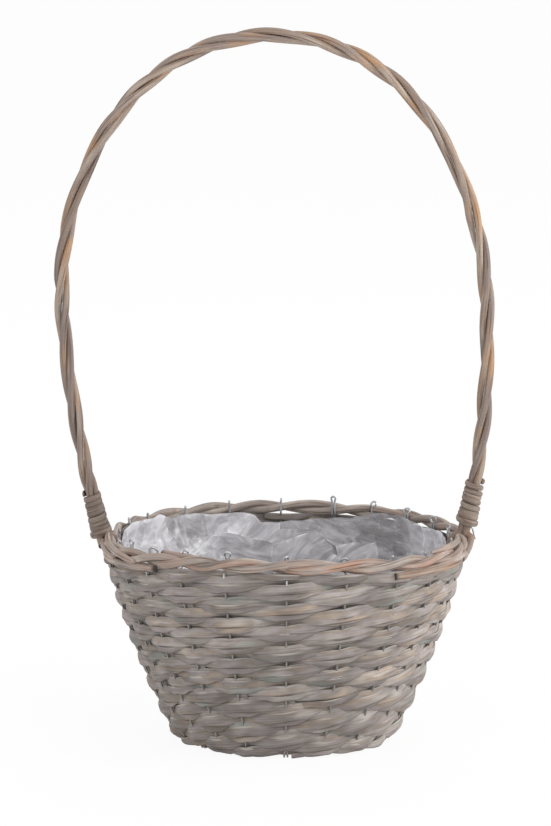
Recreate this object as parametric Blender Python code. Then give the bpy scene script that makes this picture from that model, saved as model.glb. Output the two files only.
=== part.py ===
"""A round wicker basket on a frame of wire hairpins, with a film liner and a twisted, bound handle.

The wall is a plain weave of strands that climb side by side to the right: each passes outside one
hairpin and inside the next, and the strand above does the opposite. Angles run from the front (-Y)
towards the right (+X). Lengths are in metres.
"""

import math

import bmesh
import bpy
from mathutils import Vector

# General
CLEARANCE = 0.0003
FULL_TURN = 2 * math.pi

# Wall: radius of the middle surface that the hairpins stand in
FOOT_RADIUS = 0.0708
RIM_RADIUS = 0.1178
RIM_HEIGHT = 0.1290
WALL_BULGE = 0.0043

# Wire hairpins
STAKE_COUNT = 22
WIRE_RADIUS = 0.00065
HAIRPIN_HALF_GAP = 0.0015
HAIRPIN_FOOT_LENGTH = 0.0065
LOOP_RISE = 0.0090
# How far each hairpin stands off its even place, as a share of the even spacing
STAKE_DRIFT_SHARES = (
    0.03, 0.19, 0.31, 0.30, 0.25, 0.10, 0.08, 0.11, 0.07, -0.02, -0.07,
    0.07, 0.21, 0.27, 0.41, 0.19, 0.10, 0.11, 0.18, 0.01, -0.11, -0.16,
)
# How high each loop stands, as a share of the loop rise
LOOP_RISE_SHARES = (
    1.19, 0.92, 0.83, 0.98, 0.85, 0.80, 0.75, 0.65, 0.75, 0.75, 0.90,
    0.65, 0.60, 0.55, 0.60, 0.55, 0.65, 0.75, 1.15, 1.03, 1.28, 1.35,
)

# Weave: ten strands climb side by side, so that a turn round the basket rises by ten rows
WEAVER_COUNT = 10
FOOT_BAND_HEIGHT = 0.0412
FOOT_ROW_PITCH = 0.0093
UPPER_ROW_PITCH = 0.00706
# How far below the foot the first strand's row is at the first hairpin, as a share of a row
FIRST_ROW_SHARE = 0.57
STRAND_HALF_THICKNESS = 0.00120
STRAND_TIP_HEIGHT = 0.0030
ROW_SLIT = 0.0007
ROW_SPACING_GAP = 0.0009

# Rim rods
RIM_ROD_RADIUS = 0.0024
RIM_POINTS_PER_STAKE = 3
RIM_SWELL = 0.0072
# How far the rim and the weave under it stand above their even height at each hairpin, as a share of
# the swell: the hand-woven rim is highest at the front
RIM_SWELL_SHARES = (
    0.90, 0.68, 0.44, 0.25, 0.08, 0.0, 0.0, 0.0, 0.0, 0.0, 0.0,
    0.0, 0.0, 0.0, 0.0, 0.0, 0.0, 0.0, 0.28, 0.56, 0.83, 1.0,
)

# Base mat
BASE_THICKNESS = 0.0042
BASE_RELIEF = 0.0006
BASE_HUB_RADIUS = 0.0150
BASE_RING_COUNT = 5

# Film liner
LINER_THICKNESS = 0.0010
LINER_TOP_DROP = 0.0125
LINER_EDGE_WAVE = 0.0025
LINER_FOLD_DEPTH = 0.0014
LINER_FOLD_COUNT = 11
LINER_CORNER_RADIUS = 0.0080
LINER_SECTORS = 33

# Handle
HANDLE_TOP_HEIGHT = 0.4605
HANDLE_WIDEST_HEIGHT = 0.2880
HANDLE_HALF_SPAN = 0.1382
HANDLE_SHOULDER_SHARE = 0.065
HANDLE_TOP_LEAN = 0.0085
HANDLE_FOOT_LEAN = 0.0010
HANDLE_ROD_COUNT = 3
HANDLE_ROD_RADIUS = 0.0021
HANDLE_TWIST_PITCH = 0.1000
HANDLE_POINTS_PER_TURN = 8
HANDLE_CORE_WIRE_RADIUS = 0.0006
OUTER_TUCK_DEPTH = 0.0060
INNER_TUCK_DEPTH = 0.0080
WIRE_END_DROP = 0.0010

# Cane bindings round the feet of the handle
CANE_RADIUS = 0.00125
CANE_TURN_GAP = 0.00045
BINDING_POINTS_PER_TURN = 24
LEFT_BINDING_TURNS = 8
RIGHT_BINDING_TURNS = 9
BINDING_RISE = 0.0115

# Sizes that follow from those above
STAKE_SPACING = FULL_TURN / STAKE_COUNT


def wall_radius(height):
    """Radius of the wall's middle surface at a height: a cone with a slight belly, upright above the rim."""
    share = min(height / RIM_HEIGHT, 1.0)
    return FOOT_RADIUS + (RIM_RADIUS - FOOT_RADIUS) * share + 4 * WALL_BULGE * share * (1 - share)


def around(angle, radius, height):
    """Point at an angle from the front, at a radius and height."""
    return Vector((radius * math.sin(angle), -radius * math.cos(angle), height))


def stake_angle(index):
    """Angle of a hairpin; the index may run past a full turn."""
    turns, place = divmod(index, STAKE_COUNT)
    return turns * FULL_TURN + (place + STAKE_DRIFT_SHARES[place % len(STAKE_DRIFT_SHARES)]) * STAKE_SPACING


def angle_between(position):
    """Angle at a position counted in hairpins, such as 2.5 for halfway from hairpin 2 to hairpin 3."""
    index = math.floor(position)
    share = position - index
    return (1 - share) * stake_angle(index) + share * stake_angle(index + 1)


def rim_swell(position):
    """How far the rim stands above its even height at a position counted in hairpins."""
    index = math.floor(position)
    share = position - index
    first = RIM_SWELL_SHARES[index % len(RIM_SWELL_SHARES)]
    second = RIM_SWELL_SHARES[(index + 1) % len(RIM_SWELL_SHARES)]
    return RIM_SWELL * ((1 - share) * first + share * second)


NARROWEST_SPACING = min(stake_angle(k + 1) - stake_angle(k) for k in range(STAKE_COUNT))
WALL_SLOPE = math.atan2(RIM_RADIUS - FOOT_RADIUS, RIM_HEIGHT)
STRAND_REACH = STRAND_HALF_THICKNESS / math.cos(WALL_SLOPE)
LEG_REACH = HAIRPIN_HALF_GAP + WIRE_RADIUS
LEG_SHARE = 1 - 2 * LEG_REACH / (FOOT_RADIUS * NARROWEST_SPACING)
WEAVE_SWAY = (WIRE_RADIUS + CLEARANCE + STRAND_HALF_THICKNESS) / math.cos(WALL_SLOPE) / LEG_SHARE
WEAVE_REACH = WEAVE_SWAY + STRAND_REACH

RIM_SWAY = WIRE_RADIUS + 2 * CLEARANCE + RIM_ROD_RADIUS
RIM_LIFT = RIM_ROD_RADIUS + CLEARANCE
RIM_HALF_STACK = RIM_LIFT + RIM_ROD_RADIUS

WEAVE_TOP = RIM_HEIGHT - RIM_HALF_STACK - CLEARANCE
FOOT_LIFT = 2 * WIRE_RADIUS + 2 * CLEARANCE
LAP_SHARE = CLEARANCE / (FOOT_RADIUS * NARROWEST_SPACING)

HANDLE_FOOT_DRAW = HANDLE_HALF_SPAN - RIM_RADIUS

BUNDLE_RADIUS = 2 / math.sqrt(3) * (HANDLE_ROD_RADIUS + CLEARANCE / 2) / math.cos(
    math.pi / HANDLE_POINTS_PER_TURN
)
BUNDLE_REACH = BUNDLE_RADIUS + HANDLE_ROD_RADIUS
BINDING_RADIUS = BUNDLE_REACH + CLEARANCE + CANE_RADIUS
CANE_PITCH = 2 * CANE_RADIUS + CANE_TURN_GAP
BINDING_FOOT_HEIGHT = RIM_HEIGHT + BINDING_RISE


def make_material(name, colour, roughness, metallic=0.0, alpha=1.0):
    """Principled material of one piece; the colour is linear red, green and blue."""
    material = bpy.data.materials.new(name)
    material.use_nodes = True
    shader = material.node_tree.nodes["Principled BSDF"]
    shader.inputs["Base Color"].default_value = (*colour, 1.0)
    shader.inputs["Roughness"].default_value = roughness
    shader.inputs["Metallic"].default_value = metallic
    shader.inputs["Alpha"].default_value = alpha
    return material


def willow_finish(name, tint):
    """Grey-washed split willow; the tint makes one strip a little warmer than the next."""
    return make_material(name, (0.30 + 0.04 * tint, 0.26 + 0.02 * tint, 0.22), 0.75)


def brown_rod_finish(name):
    """Unpeeled brown willow rod."""
    return make_material(name, (0.34, 0.22, 0.15), 0.65)


def cane_finish(name):
    """Split cane of the bindings."""
    return make_material(name, (0.36, 0.27, 0.20), 0.60)


def wire_finish(name):
    """Galvanised wire."""
    return make_material(name, (0.45, 0.46, 0.47), 0.35, metallic=1.0)


def film_finish(name):
    """Thin clouded film."""
    return make_material(name, (0.75, 0.74, 0.78), 0.30, alpha=0.55)


def add_tube(name, points, radius, resolution, material, closed=False):
    """Round tube of an even radius along points, with flat ends or closed to a ring."""
    curve = bpy.data.curves.new(name, "CURVE")
    curve.dimensions = "3D"
    curve.bevel_depth = radius
    curve.bevel_resolution = resolution
    curve.use_fill_caps = not closed
    spline = curve.splines.new("POLY")
    spline.points.add(len(points) - 1)
    for target, point in zip(spline.points, points):
        target.co = (*point, 1.0)
    spline.use_cyclic_u = closed
    spline.use_smooth = True
    piece = bpy.data.objects.new(name, curve)
    piece.data.materials.append(material)
    bpy.context.collection.objects.link(piece)
    return piece


def add_mesh(name, bm, material, sharp_angle=math.radians(50)):
    """Object from a bmesh, with its faces turned outwards and shaded smooth."""
    bmesh.ops.recalc_face_normals(bm, faces=bm.faces)
    mesh = bpy.data.meshes.new(name)
    bm.to_mesh(mesh)
    bm.free()
    mesh.shade_smooth()
    mesh.set_sharp_from_angle(angle=sharp_angle)
    mesh.materials.append(material)
    piece = bpy.data.objects.new(name, mesh)
    bpy.context.collection.objects.link(piece)
    return piece


def join_loops(bm, loops, closed=False):
    """Side faces between loops of vertices, each to the next, and round to the first if closed."""
    pairs = list(zip(loops, loops[1:]))
    if closed:
        pairs.append((loops[-1], loops[0]))
    for first, second in pairs:
        count = len(first)
        for k in range(count):
            after = (k + 1) % count
            bm.faces.new((first[k], first[after], second[after], second[k]))


def smooth_path(keys, steps):
    """Catmull-Rom curve through key points, with a number of steps between two of them."""
    ends = [keys[0] * 2 - keys[1], *keys, keys[-1] * 2 - keys[-2]]
    path = []
    for a, b, c, d in zip(ends, ends[1:], ends[2:], ends[3:]):
        for step in range(steps):
            t = step / steps
            path.append(
                0.5 * (2 * b + (c - a) * t + (2 * a - 5 * b + 4 * c - d) * t**2
                       + (3 * b - a - 3 * c + d) * t**3)
            )
    path.append(keys[-1].copy())
    return path


# Wire hairpins
def leg_heights():
    """Heights of a leg's points, from the clenched foot to the rim."""
    low = WIRE_RADIUS + CLEARANCE
    steps = 4
    return [low + (RIM_HEIGHT - low) * step / steps for step in range(steps + 1)]


def add_hairpin(index):
    """One wall stake: a wire bent to a loop above the rim, its two feet clenched in under the base."""
    angle = stake_angle(index)
    side = Vector((math.cos(angle), math.sin(angle), 0.0))
    loop_top = RIM_HEIGHT + LOOP_RISE * LOOP_RISE_SHARES[index % len(LOOP_RISE_SHARES)]
    shoulder = loop_top - HAIRPIN_HALF_GAP
    heights = leg_heights()
    leg = [around(angle, wall_radius(heights[0]) - HAIRPIN_FOOT_LENGTH, heights[0])]
    leg += [around(angle, wall_radius(height), height) for height in heights]
    leg.append(around(angle, wall_radius(shoulder), shoulder))
    left = [point - side * HAIRPIN_HALF_GAP for point in leg]
    right = [point + side * HAIRPIN_HALF_GAP for point in leg]
    arc = []
    for turn in (45, 90, 135):
        bend = math.radians(turn)
        rise = HAIRPIN_HALF_GAP * math.sin(bend)
        arc.append(
            around(angle, wall_radius(shoulder + rise), shoulder + rise)
            - side * HAIRPIN_HALF_GAP * math.cos(bend)
        )
    name = f"stake_{index + 1:02d}"
    add_tube(name, left + arc + right[::-1], WIRE_RADIUS, 0, wire_finish(name))


# Weave
def row_height(row):
    """Height of a row line: the rows of the foot band are taller than those above it."""
    above = row - FOOT_BAND_HEIGHT / FOOT_ROW_PITCH
    return FOOT_BAND_HEIGHT + above * (UPPER_ROW_PITCH if above > 0 else FOOT_ROW_PITCH)


def passes_outside(number, stake):
    """Whether a strand passes outside a hairpin, which is counted on past a full turn."""
    return (number + stake) % 2 == 0


def strand_edges(number, half):
    """Bottom and top height of a strand at a place counted in half spacings from the first hairpin.

    At a hairpin the strand spreads over two rows, and between two hairpins it narrows to one.
    """
    crossing = half % 2 == 0
    row = number - FIRST_ROW_SHARE + half / 2 * WEAVER_COUNT / STAKE_COUNT
    reach = 1.0 if crossing else 0.5
    gap = ROW_SPACING_GAP if crossing else ROW_SLIT
    floor = 0.0 if crossing and passes_outside(number, half // 2) else FOOT_LIFT
    low = max(row_height(row - reach) + gap / 2, floor)
    high = min(row_height(row + reach) - gap / 2, WEAVE_TOP + rim_swell(half / 2))
    return low, high


def strand_section(number, half):
    """Four corners of a strand's section: top edge, outer face, bottom edge and inner face."""
    sway = 0.0
    if half % 2 == 0:
        sway = WEAVE_SWAY if passes_outside(number, half // 2) else -WEAVE_SWAY
    low, high = strand_edges(number, half)
    middle = (low + high) / 2
    angle = angle_between(half / 2)
    return (
        around(angle, wall_radius(high) + sway, high),
        around(angle, wall_radius(middle) + sway + STRAND_REACH, middle),
        around(angle, wall_radius(low) + sway, low),
        around(angle, wall_radius(middle) + sway - STRAND_REACH, middle),
    )


def strand_range(number):
    """First and last place of a strand: it ends where the foot or the rim leaves it no height."""
    rows = FOOT_BAND_HEIGHT / FOOT_ROW_PITCH + (WEAVE_TOP - FOOT_BAND_HEIGHT) / UPPER_ROW_PITCH
    middle_row = rows / 2
    middle = 2 * round((middle_row - number) * STAKE_COUNT / WEAVER_COUNT)

    def has_height(half):
        low, high = strand_edges(number, half)
        return high - low >= STRAND_TIP_HEIGHT

    first = middle
    while has_height(first - 1):
        first -= 1
    last = middle
    while has_height(last + 1):
        last += 1
    return first, last


def add_strip(name, sections, tint):
    """One willow strip: a closed body along its sections, with a flat face at both ends."""
    bm = bmesh.new()
    loops = [[bm.verts.new(corner) for corner in section] for section in sections]
    join_loops(bm, loops)
    bm.faces.new(loops[0][::-1])
    bm.faces.new(loops[-1])
    add_mesh(name, bm, willow_finish(name, tint))


def add_strand(number):
    """One climbing strand of two strips, which meet end to end behind a hairpin halfway along."""
    first, last = strand_range(number)
    meeting = (first + last) // 4
    if passes_outside(number, meeting):
        meeting += 1
    halves = list(range(first, last + 1))
    sections = {half: strand_section(number, half) for half in halves}

    def end_section(half):
        """Section just beside the meeting place, on the side of the given neighbour."""
        pairs = zip(sections[2 * meeting], sections[half])
        return tuple(corner.lerp(beside, LAP_SHARE) for corner, beside in pairs)

    lower = [sections[half] for half in halves if half < 2 * meeting] + [end_section(2 * meeting - 1)]
    upper = [end_section(2 * meeting + 1)] + [sections[half] for half in halves if half > 2 * meeting]
    add_strip(f"weaver_{2 * number + 1:02d}", lower, (number * 7) % 5 / 4)
    add_strip(f"weaver_{2 * number + 2:02d}", upper, (number * 3 + 1) % 5 / 4)


# Rim
def rim_point(position, phase):
    """Centre of a rim rod at a position counted in hairpins; the rods twine about the stakes."""
    turn = math.pi * (position + phase)
    radius = RIM_RADIUS + RIM_SWAY * math.cos(turn)
    height = RIM_HEIGHT + rim_swell(position) + RIM_LIFT * math.sin(turn)
    return around(angle_between(position), radius, height)


def add_rim_rod(name, phase):
    """One of the two rods that twine about the hairpins under their loops."""
    count = STAKE_COUNT * RIM_POINTS_PER_STAKE
    points = [rim_point(step / RIM_POINTS_PER_STAKE, phase) for step in range(count)]
    add_tube(name, points, RIM_ROD_RADIUS, 1, brown_rod_finish(name), closed=True)


# Base
def add_base_mat(name):
    """Round woven mat: rings of raised and lowered fields, flat under its hub, with a ledge at its edge."""
    edge_radius = wall_radius(0) - WEAVE_REACH - 2 * CLEARANCE
    ledge_radius = wall_radius(0) - HAIRPIN_FOOT_LENGTH - WIRE_RADIUS - 2 * CLEARANCE
    field = (ledge_radius - BASE_HUB_RADIUS) / BASE_RING_COUNT
    radii = [BASE_HUB_RADIUS + ring * field for ring in range(BASE_RING_COUNT + 1)]
    sectors = STAKE_COUNT
    bm = bmesh.new()

    def ring(radius, height, relief, shift):
        loop = []
        for sector in range(sectors):
            raised = relief if (sector + shift) % 2 else 0.0
            loop.append(bm.verts.new(around(stake_angle(sector), radius, height + raised)))
        return loop

    lower = [ring(radii[0], 0.0, 0.0, 0)]
    lower += [ring(radius, 0.0, BASE_RELIEF, k) for k, radius in enumerate(radii[1:])]
    lower.append(ring(ledge_radius, FOOT_LIFT, 0.0, 0))
    lower.append(ring(edge_radius, FOOT_LIFT, 0.0, 0))
    upper = [ring(edge_radius, BASE_THICKNESS, 0.0, 0)]
    upper += [
        ring(radius, BASE_THICKNESS, BASE_RELIEF, k) for k, radius in reversed(list(enumerate(radii[1:])))
    ]
    upper.append(ring(radii[0], BASE_THICKNESS, 0.0, 0))
    join_loops(bm, lower + upper)
    bm.faces.new(lower[0][::-1])
    bm.faces.new(upper[-1])
    add_mesh(name, bm, willow_finish(name, 0.0))


# Liner
def add_liner(name):
    """Film cup with soft folds and a wavy upper edge, open at the top."""
    floor = BASE_THICKNESS + BASE_RELIEF + CLEARANCE
    top = RIM_HEIGHT - LINER_TOP_DROP
    levels = (0.35, 0.68, 1.0)
    bm = bmesh.new()

    def cup(inset):
        """Loops of one side of the film, from the middle of the floor to the upper edge."""
        loops = []
        bottom = floor + inset
        corner = wall_radius(floor) - WEAVE_REACH - 2 * CLEARANCE - inset
        for radius in (corner / 2, corner - LINER_CORNER_RADIUS):
            loops.append([around(FULL_TURN * k / LINER_SECTORS, radius, bottom) for k in range(LINER_SECTORS)])
        for level in levels:
            loop = []
            for k in range(LINER_SECTORS):
                angle = FULL_TURN * k / LINER_SECTORS
                wave = math.sin(LINER_FOLD_COUNT * angle)
                edge = top + LINER_EDGE_WAVE * math.cos(3 * angle)
                height = bottom + (edge - bottom) * level
                fold = LINER_FOLD_DEPTH * (0.5 + 0.5 * wave) * level
                radius = wall_radius(height) - WEAVE_REACH - 2 * CLEARANCE - inset - fold
                loop.append(around(angle, radius, height))
            loops.append(loop)
        return loops

    outer = [[bm.verts.new(point) for point in loop] for loop in cup(0.0)]
    inner = [[bm.verts.new(point) for point in loop] for loop in cup(LINER_THICKNESS)]
    join_loops(bm, outer + inner[::-1])
    bm.faces.new(outer[0][::-1])
    bm.faces.new(inner[0])
    add_mesh(name, bm, film_finish(name))


# Handle
def handle_plane_angle():
    """Angle of the right foot of the handle, halfway between the two hairpins nearest to the right."""
    return angle_between(STAKE_COUNT / 4)


def handle_left_angle():
    """Angle of the left foot, halfway between the two hairpins nearest to the left."""
    return angle_between(STAKE_COUNT * 3 / 4)


def ease(share):
    """Smooth step from 0 to 1."""
    share = min(max(share, 0.0), 1.0)
    return share * share * (3 - 2 * share)


def handle_lean(height):
    """How far the middle of the arch leans to the left at a height."""
    share = (height - RIM_HEIGHT) / (HANDLE_TOP_HEIGHT - RIM_HEIGHT)
    return HANDLE_FOOT_LEAN + (HANDLE_TOP_LEAN - HANDLE_FOOT_LEAN) * ease(share * 1.4)


def handle_side_point(side, reach, height):
    """Point on the arch: side is -1 on the left and 1 on the right, reach is from the arch's middle."""
    angle = handle_plane_angle() if side > 0 else handle_left_angle()
    across = Vector((math.sin(angle), -math.cos(angle), 0.0))
    return across * reach + Vector((-handle_lean(height), 0.0, height))


def leg_reach(height):
    """Reach of a leg below the widest height: it draws in towards the rim."""
    share = (HANDLE_WIDEST_HEIGHT - height) / (HANDLE_WIDEST_HEIGHT - RIM_HEIGHT)
    return HANDLE_HALF_SPAN - HANDLE_FOOT_DRAW * share**2


def handle_centreline():
    """Dense centreline from the left binding's foot over the top to the right binding's foot.

    The arch is an ellipse with fuller shoulders.
    """
    leg_steps = 40
    arch_steps = 120
    left = []
    for step in range(leg_steps):
        height = BINDING_FOOT_HEIGHT + (HANDLE_WIDEST_HEIGHT - BINDING_FOOT_HEIGHT) * step / leg_steps
        left.append((-1, leg_reach(height), height))
    arch = []
    rise = HANDLE_TOP_HEIGHT - HANDLE_WIDEST_HEIGHT
    for step in range(arch_steps + 1):
        turn = math.pi * step / arch_steps
        reach = HANDLE_HALF_SPAN * abs(math.cos(turn)) * (1 + HANDLE_SHOULDER_SHARE * math.sin(turn)**4)
        arch.append((-1 if step * 2 < arch_steps else 1, reach, HANDLE_WIDEST_HEIGHT + rise * math.sin(turn)))
    right = [(1, reach, height) for _, reach, height in reversed(left)]
    return [handle_side_point(*place) for place in left + arch + right]


class HandleAxis:
    """The arch measured by length, with an outward and a sideways direction at each place."""

    def __init__(self):
        self.points = handle_centreline()
        self.lengths = [0.0]
        for first, second in zip(self.points, self.points[1:]):
            self.lengths.append(self.lengths[-1] + (second - first).length)
        self.total = self.lengths[-1]

    def point(self, length):
        """Point at a length along the arch."""
        length = min(max(length, 0.0), self.total)
        index = next(k for k in range(1, len(self.lengths)) if self.lengths[k] >= length)
        share = (length - self.lengths[index - 1]) / (self.lengths[index] - self.lengths[index - 1])
        return self.points[index - 1].lerp(self.points[index], share)

    def frame(self, length):
        """Tangent, outward direction and sideways direction at a length."""
        reach = self.total / len(self.points)
        tangent = (self.point(length + reach) - self.point(length - reach)).normalized()
        plane = (self.points[-1] - self.points[0]).cross(Vector((0.0, 0.0, 1.0))).normalized()
        outward = -tangent.cross(plane).normalized()
        return tangent, outward, tangent.cross(outward)

    def offset(self, length, radius, turn):
        """Point beside the arch, at a radius and a turn from its outward direction."""
        _, outward, sideways = self.frame(length)
        return self.point(length) + outward * radius * math.cos(turn) + sideways * radius * math.sin(turn)


def binding_length(turns):
    """Length of leg that a binding covers."""
    return turns * CANE_PITCH + 2 * CANE_RADIUS


def rod_turn(axis, length):
    """Turn of the twisted rods at a length: none in the bindings, whole turns between them."""
    start = binding_length(LEFT_BINDING_TURNS)
    end = axis.total - binding_length(RIGHT_BINDING_TURNS)
    turns = max(1, round((end - start) / HANDLE_TWIST_PITCH))
    share = min(max((length - start) / (end - start), 0.0), 1.0)
    return share * turns * FULL_TURN


def twist_lengths(axis):
    """Places along the arch at which a twisted strand has its points."""
    step = HANDLE_TWIST_PITCH / HANDLE_POINTS_PER_TURN
    count = round(axis.total / step)
    return [axis.total * k / count for k in range(count + 1)]


def rim_stack_reach(beside):
    """How far the rim rods reach from the rim's middle at a distance beside their crossing."""
    spacing = RIM_RADIUS * NARROWEST_SPACING
    return RIM_ROD_RADIUS + RIM_SWAY * math.sin(math.pi * min(beside / spacing, 0.5))


def tuck_points(axis, length, turn):
    """Key points of a rod below the binding: over the rim, past it, and in beside the weave."""
    side = -1 if length == 0 else 1
    angle = handle_plane_angle() if side > 0 else handle_left_angle()
    outward = Vector((math.sin(angle), -math.cos(angle), 0.0))
    _, _, sideways = axis.frame(length)
    inner = math.cos(turn) < 0
    beside = 0.0 if inner else math.copysign(HANDLE_ROD_RADIUS + CLEARANCE + 2 * HANDLE_CORE_WIRE_RADIUS,
                                             math.sin(turn))
    reach = rim_stack_reach(abs(beside) + HANDLE_ROD_RADIUS) + CLEARANCE + HANDLE_ROD_RADIUS
    weave = WEAVE_REACH + CLEARANCE + HANDLE_ROD_RADIUS
    way = -1 if inner else 1
    tip = RIM_HEIGHT - (INNER_TUCK_DEPTH if inner else OUTER_TUCK_DEPTH)
    crest = RIM_HEIGHT + RIM_HALF_STACK
    places = [
        (RIM_RADIUS + way * reach, crest),
        (RIM_RADIUS + way * reach, RIM_HEIGHT),
        (wall_radius(tip) + way * weave, tip),
    ]
    return [outward * radius + sideways * beside + Vector((0.0, 0.0, height)) for radius, height in places]


def add_handle_rod(axis, number):
    """One twisted rod, tucked in beside the rim at both feet."""
    phase = math.pi + FULL_TURN * number / HANDLE_ROD_COUNT
    lengths = twist_lengths(axis)
    middle = [axis.offset(length, BUNDLE_RADIUS, phase + rod_turn(axis, length)) for length in lengths]
    left = tuck_points(axis, 0, phase)
    right = tuck_points(axis, axis.total, phase + rod_turn(axis, axis.total))
    steps = 2
    start = smooth_path([*left[::-1], middle[0], middle[1]], steps)[:-steps]
    end = smooth_path([middle[-2], middle[-1], *right], steps)[steps:]
    name = f"handle_rod_{number + 1}"
    add_tube(name, start + middle[1:-1] + end, HANDLE_ROD_RADIUS, 1, brown_rod_finish(name))


def add_handle_wire(axis, name):
    """Wire in the groove between two rods, its ends left free outside the rim."""
    need = HANDLE_ROD_RADIUS + CLEARANCE + HANDLE_CORE_WIRE_RADIUS
    radius = (BUNDLE_RADIUS + math.sqrt(4 * need**2 - 3 * BUNDLE_RADIUS**2)) / 2
    lengths = twist_lengths(axis)
    middle = [axis.offset(length, radius, rod_turn(axis, length)) for length in lengths]
    ends = []
    for angle in (handle_left_angle(), handle_plane_angle()):
        outward = Vector((math.sin(angle), -math.cos(angle), 0.0))
        reach = rim_stack_reach(HANDLE_CORE_WIRE_RADIUS) + 2 * CLEARANCE + HANDLE_CORE_WIRE_RADIUS
        low = RIM_HEIGHT - WIRE_END_DROP
        ends.append(outward * (RIM_RADIUS + reach) + Vector((0.0, 0.0, low)))
    add_tube(name, [ends[0], *middle, ends[1]], HANDLE_CORE_WIRE_RADIUS, 0, wire_finish(name))


def add_binding(axis, name, turns, right):
    """Cane wound round the rods above the rim, as one unbroken tube."""
    points = []
    count = turns * BINDING_POINTS_PER_TURN
    for step in range(count + 1):
        length = CANE_RADIUS + CANE_PITCH * step / BINDING_POINTS_PER_TURN
        if right:
            length = axis.total - length
        points.append(axis.offset(length, BINDING_RADIUS, FULL_TURN * step / BINDING_POINTS_PER_TURN))
    apart = BINDING_POINTS_PER_TURN // 2
    least = min(
        (points[j] - points[i]).length for i in range(len(points)) for j in range(i + apart, len(points))
    )
    print(f"{name}: least gap between turns {(least - 2 * CANE_RADIUS) * 1000:.3f} mm")
    add_tube(name, points, CANE_RADIUS, 1, cane_finish(name))


def main():
    for leftover in list(bpy.data.objects):
        bpy.data.objects.remove(leftover)
    for index in range(STAKE_COUNT):
        add_hairpin(index)
    for number in range(WEAVER_COUNT):
        add_strand(number)
    add_rim_rod("rim_rod_1", 0)
    add_rim_rod("rim_rod_2", 1)
    add_base_mat("base_mat")
    add_liner("film_liner")
    axis = HandleAxis()
    for number in range(HANDLE_ROD_COUNT):
        add_handle_rod(axis, number)
    add_handle_wire(axis, "handle_wire")
    add_binding(axis, "left_binding", LEFT_BINDING_TURNS, right=False)
    add_binding(axis, "right_binding", RIGHT_BINDING_TURNS, right=True)


main()
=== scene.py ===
"""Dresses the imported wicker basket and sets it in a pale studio.

The basket is woven from split willow strips over a frame of galvanised wire hairpins, with a rim of two
twined rods, a film liner, a woven base and a tall handle of twisted rods bound with cane. Angles run from
the front (-Y) towards the right (+X). Lengths are in metres unless a name says otherwise.
"""

from __future__ import annotations

import logging
import math
from dataclasses import dataclass, field
from enum import Enum

import bpy
import numpy as np
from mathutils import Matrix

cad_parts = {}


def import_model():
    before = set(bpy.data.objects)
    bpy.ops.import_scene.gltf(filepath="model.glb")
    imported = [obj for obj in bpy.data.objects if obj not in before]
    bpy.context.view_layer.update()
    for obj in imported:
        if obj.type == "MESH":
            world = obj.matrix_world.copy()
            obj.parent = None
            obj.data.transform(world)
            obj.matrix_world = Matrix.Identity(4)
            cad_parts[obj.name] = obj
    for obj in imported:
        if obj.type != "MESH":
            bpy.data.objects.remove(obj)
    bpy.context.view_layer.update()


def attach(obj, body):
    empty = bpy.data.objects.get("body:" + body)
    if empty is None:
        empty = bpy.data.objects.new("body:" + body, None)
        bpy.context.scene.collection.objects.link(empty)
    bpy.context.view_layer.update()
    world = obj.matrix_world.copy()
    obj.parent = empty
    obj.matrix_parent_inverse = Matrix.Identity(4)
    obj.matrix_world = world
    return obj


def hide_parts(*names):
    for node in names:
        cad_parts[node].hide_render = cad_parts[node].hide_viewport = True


LOG = logging.getLogger("basket")
FULL_TURN = 2 * math.pi
UP = np.array([0.0, 0.0, 1.0])
WHITE = (1.0, 1.0, 1.0, 1.0)
Socket = bpy.types.NodeSocket


class Slot(Enum):
    """The record's material slots."""

    WILLOW_GREY = "willow_grey"
    WILLOW_BLUE_GREY = "willow_blue_grey"
    WILLOW_BEIGE = "willow_beige"
    HANDLE_WILLOW = "handle_willow"
    RIM_WILLOW = "rim_willow"
    CANE = "cane"
    GALVANISED_WIRE = "galvanised_wire"
    FILM = "film"


class Foot(Enum):
    """The two feet of the handle."""

    LEFT = -1
    RIGHT = 1


# ---- small tools


def linear(code: str) -> tuple[float, ...]:
    """Turn an sRGB hex colour to linear light.

    Args:
        code: Six hex digits.

    Returns:
        Red, green, blue and an opacity of 1.
    """
    shares = [int(code[k : k + 2], 16) / 255 for k in (0, 2, 4)]
    return (*(s / 12.92 if s <= 0.04045 else ((s + 0.055) / 1.055) ** 2.4 for s in shares), 1.0)


def add_node(tree: bpy.types.NodeTree, kind: str, inputs: dict[str | int, object] | None = None,
             **settings: object) -> bpy.types.Node:
    """Add a shader node.

    Args:
        tree: Node tree that gets it.
        kind: Blender's name of its type, without the word ShaderNode.
        inputs: A value or another node's output for its inputs, by their names or numbers.
        settings: Its attributes.

    Returns:
        The new node.
    """
    node = tree.nodes.new(f"ShaderNode{kind}")
    for name, value in settings.items():
        setattr(node, name, value)
    for key, value in (inputs or {}).items():
        if isinstance(value, Socket):
            tree.links.new(value, node.inputs[key])
        else:
            node.inputs[key].default_value = value
    return node


@dataclass(frozen=True)
class Spread:
    """How a pattern's value turns to another: least at its start, most at its end, held outside these.
    The start may be the higher of the two."""

    start: float
    end: float
    least: float = 0.0
    most: float = 1.0


@dataclass(frozen=True)
class Coat:
    """Colour over another: none of it at a pattern's start value, its full share at the end value, held
    outside these. The start may be the higher of the two."""

    colour: str
    start: float
    end: float
    share: float


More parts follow.
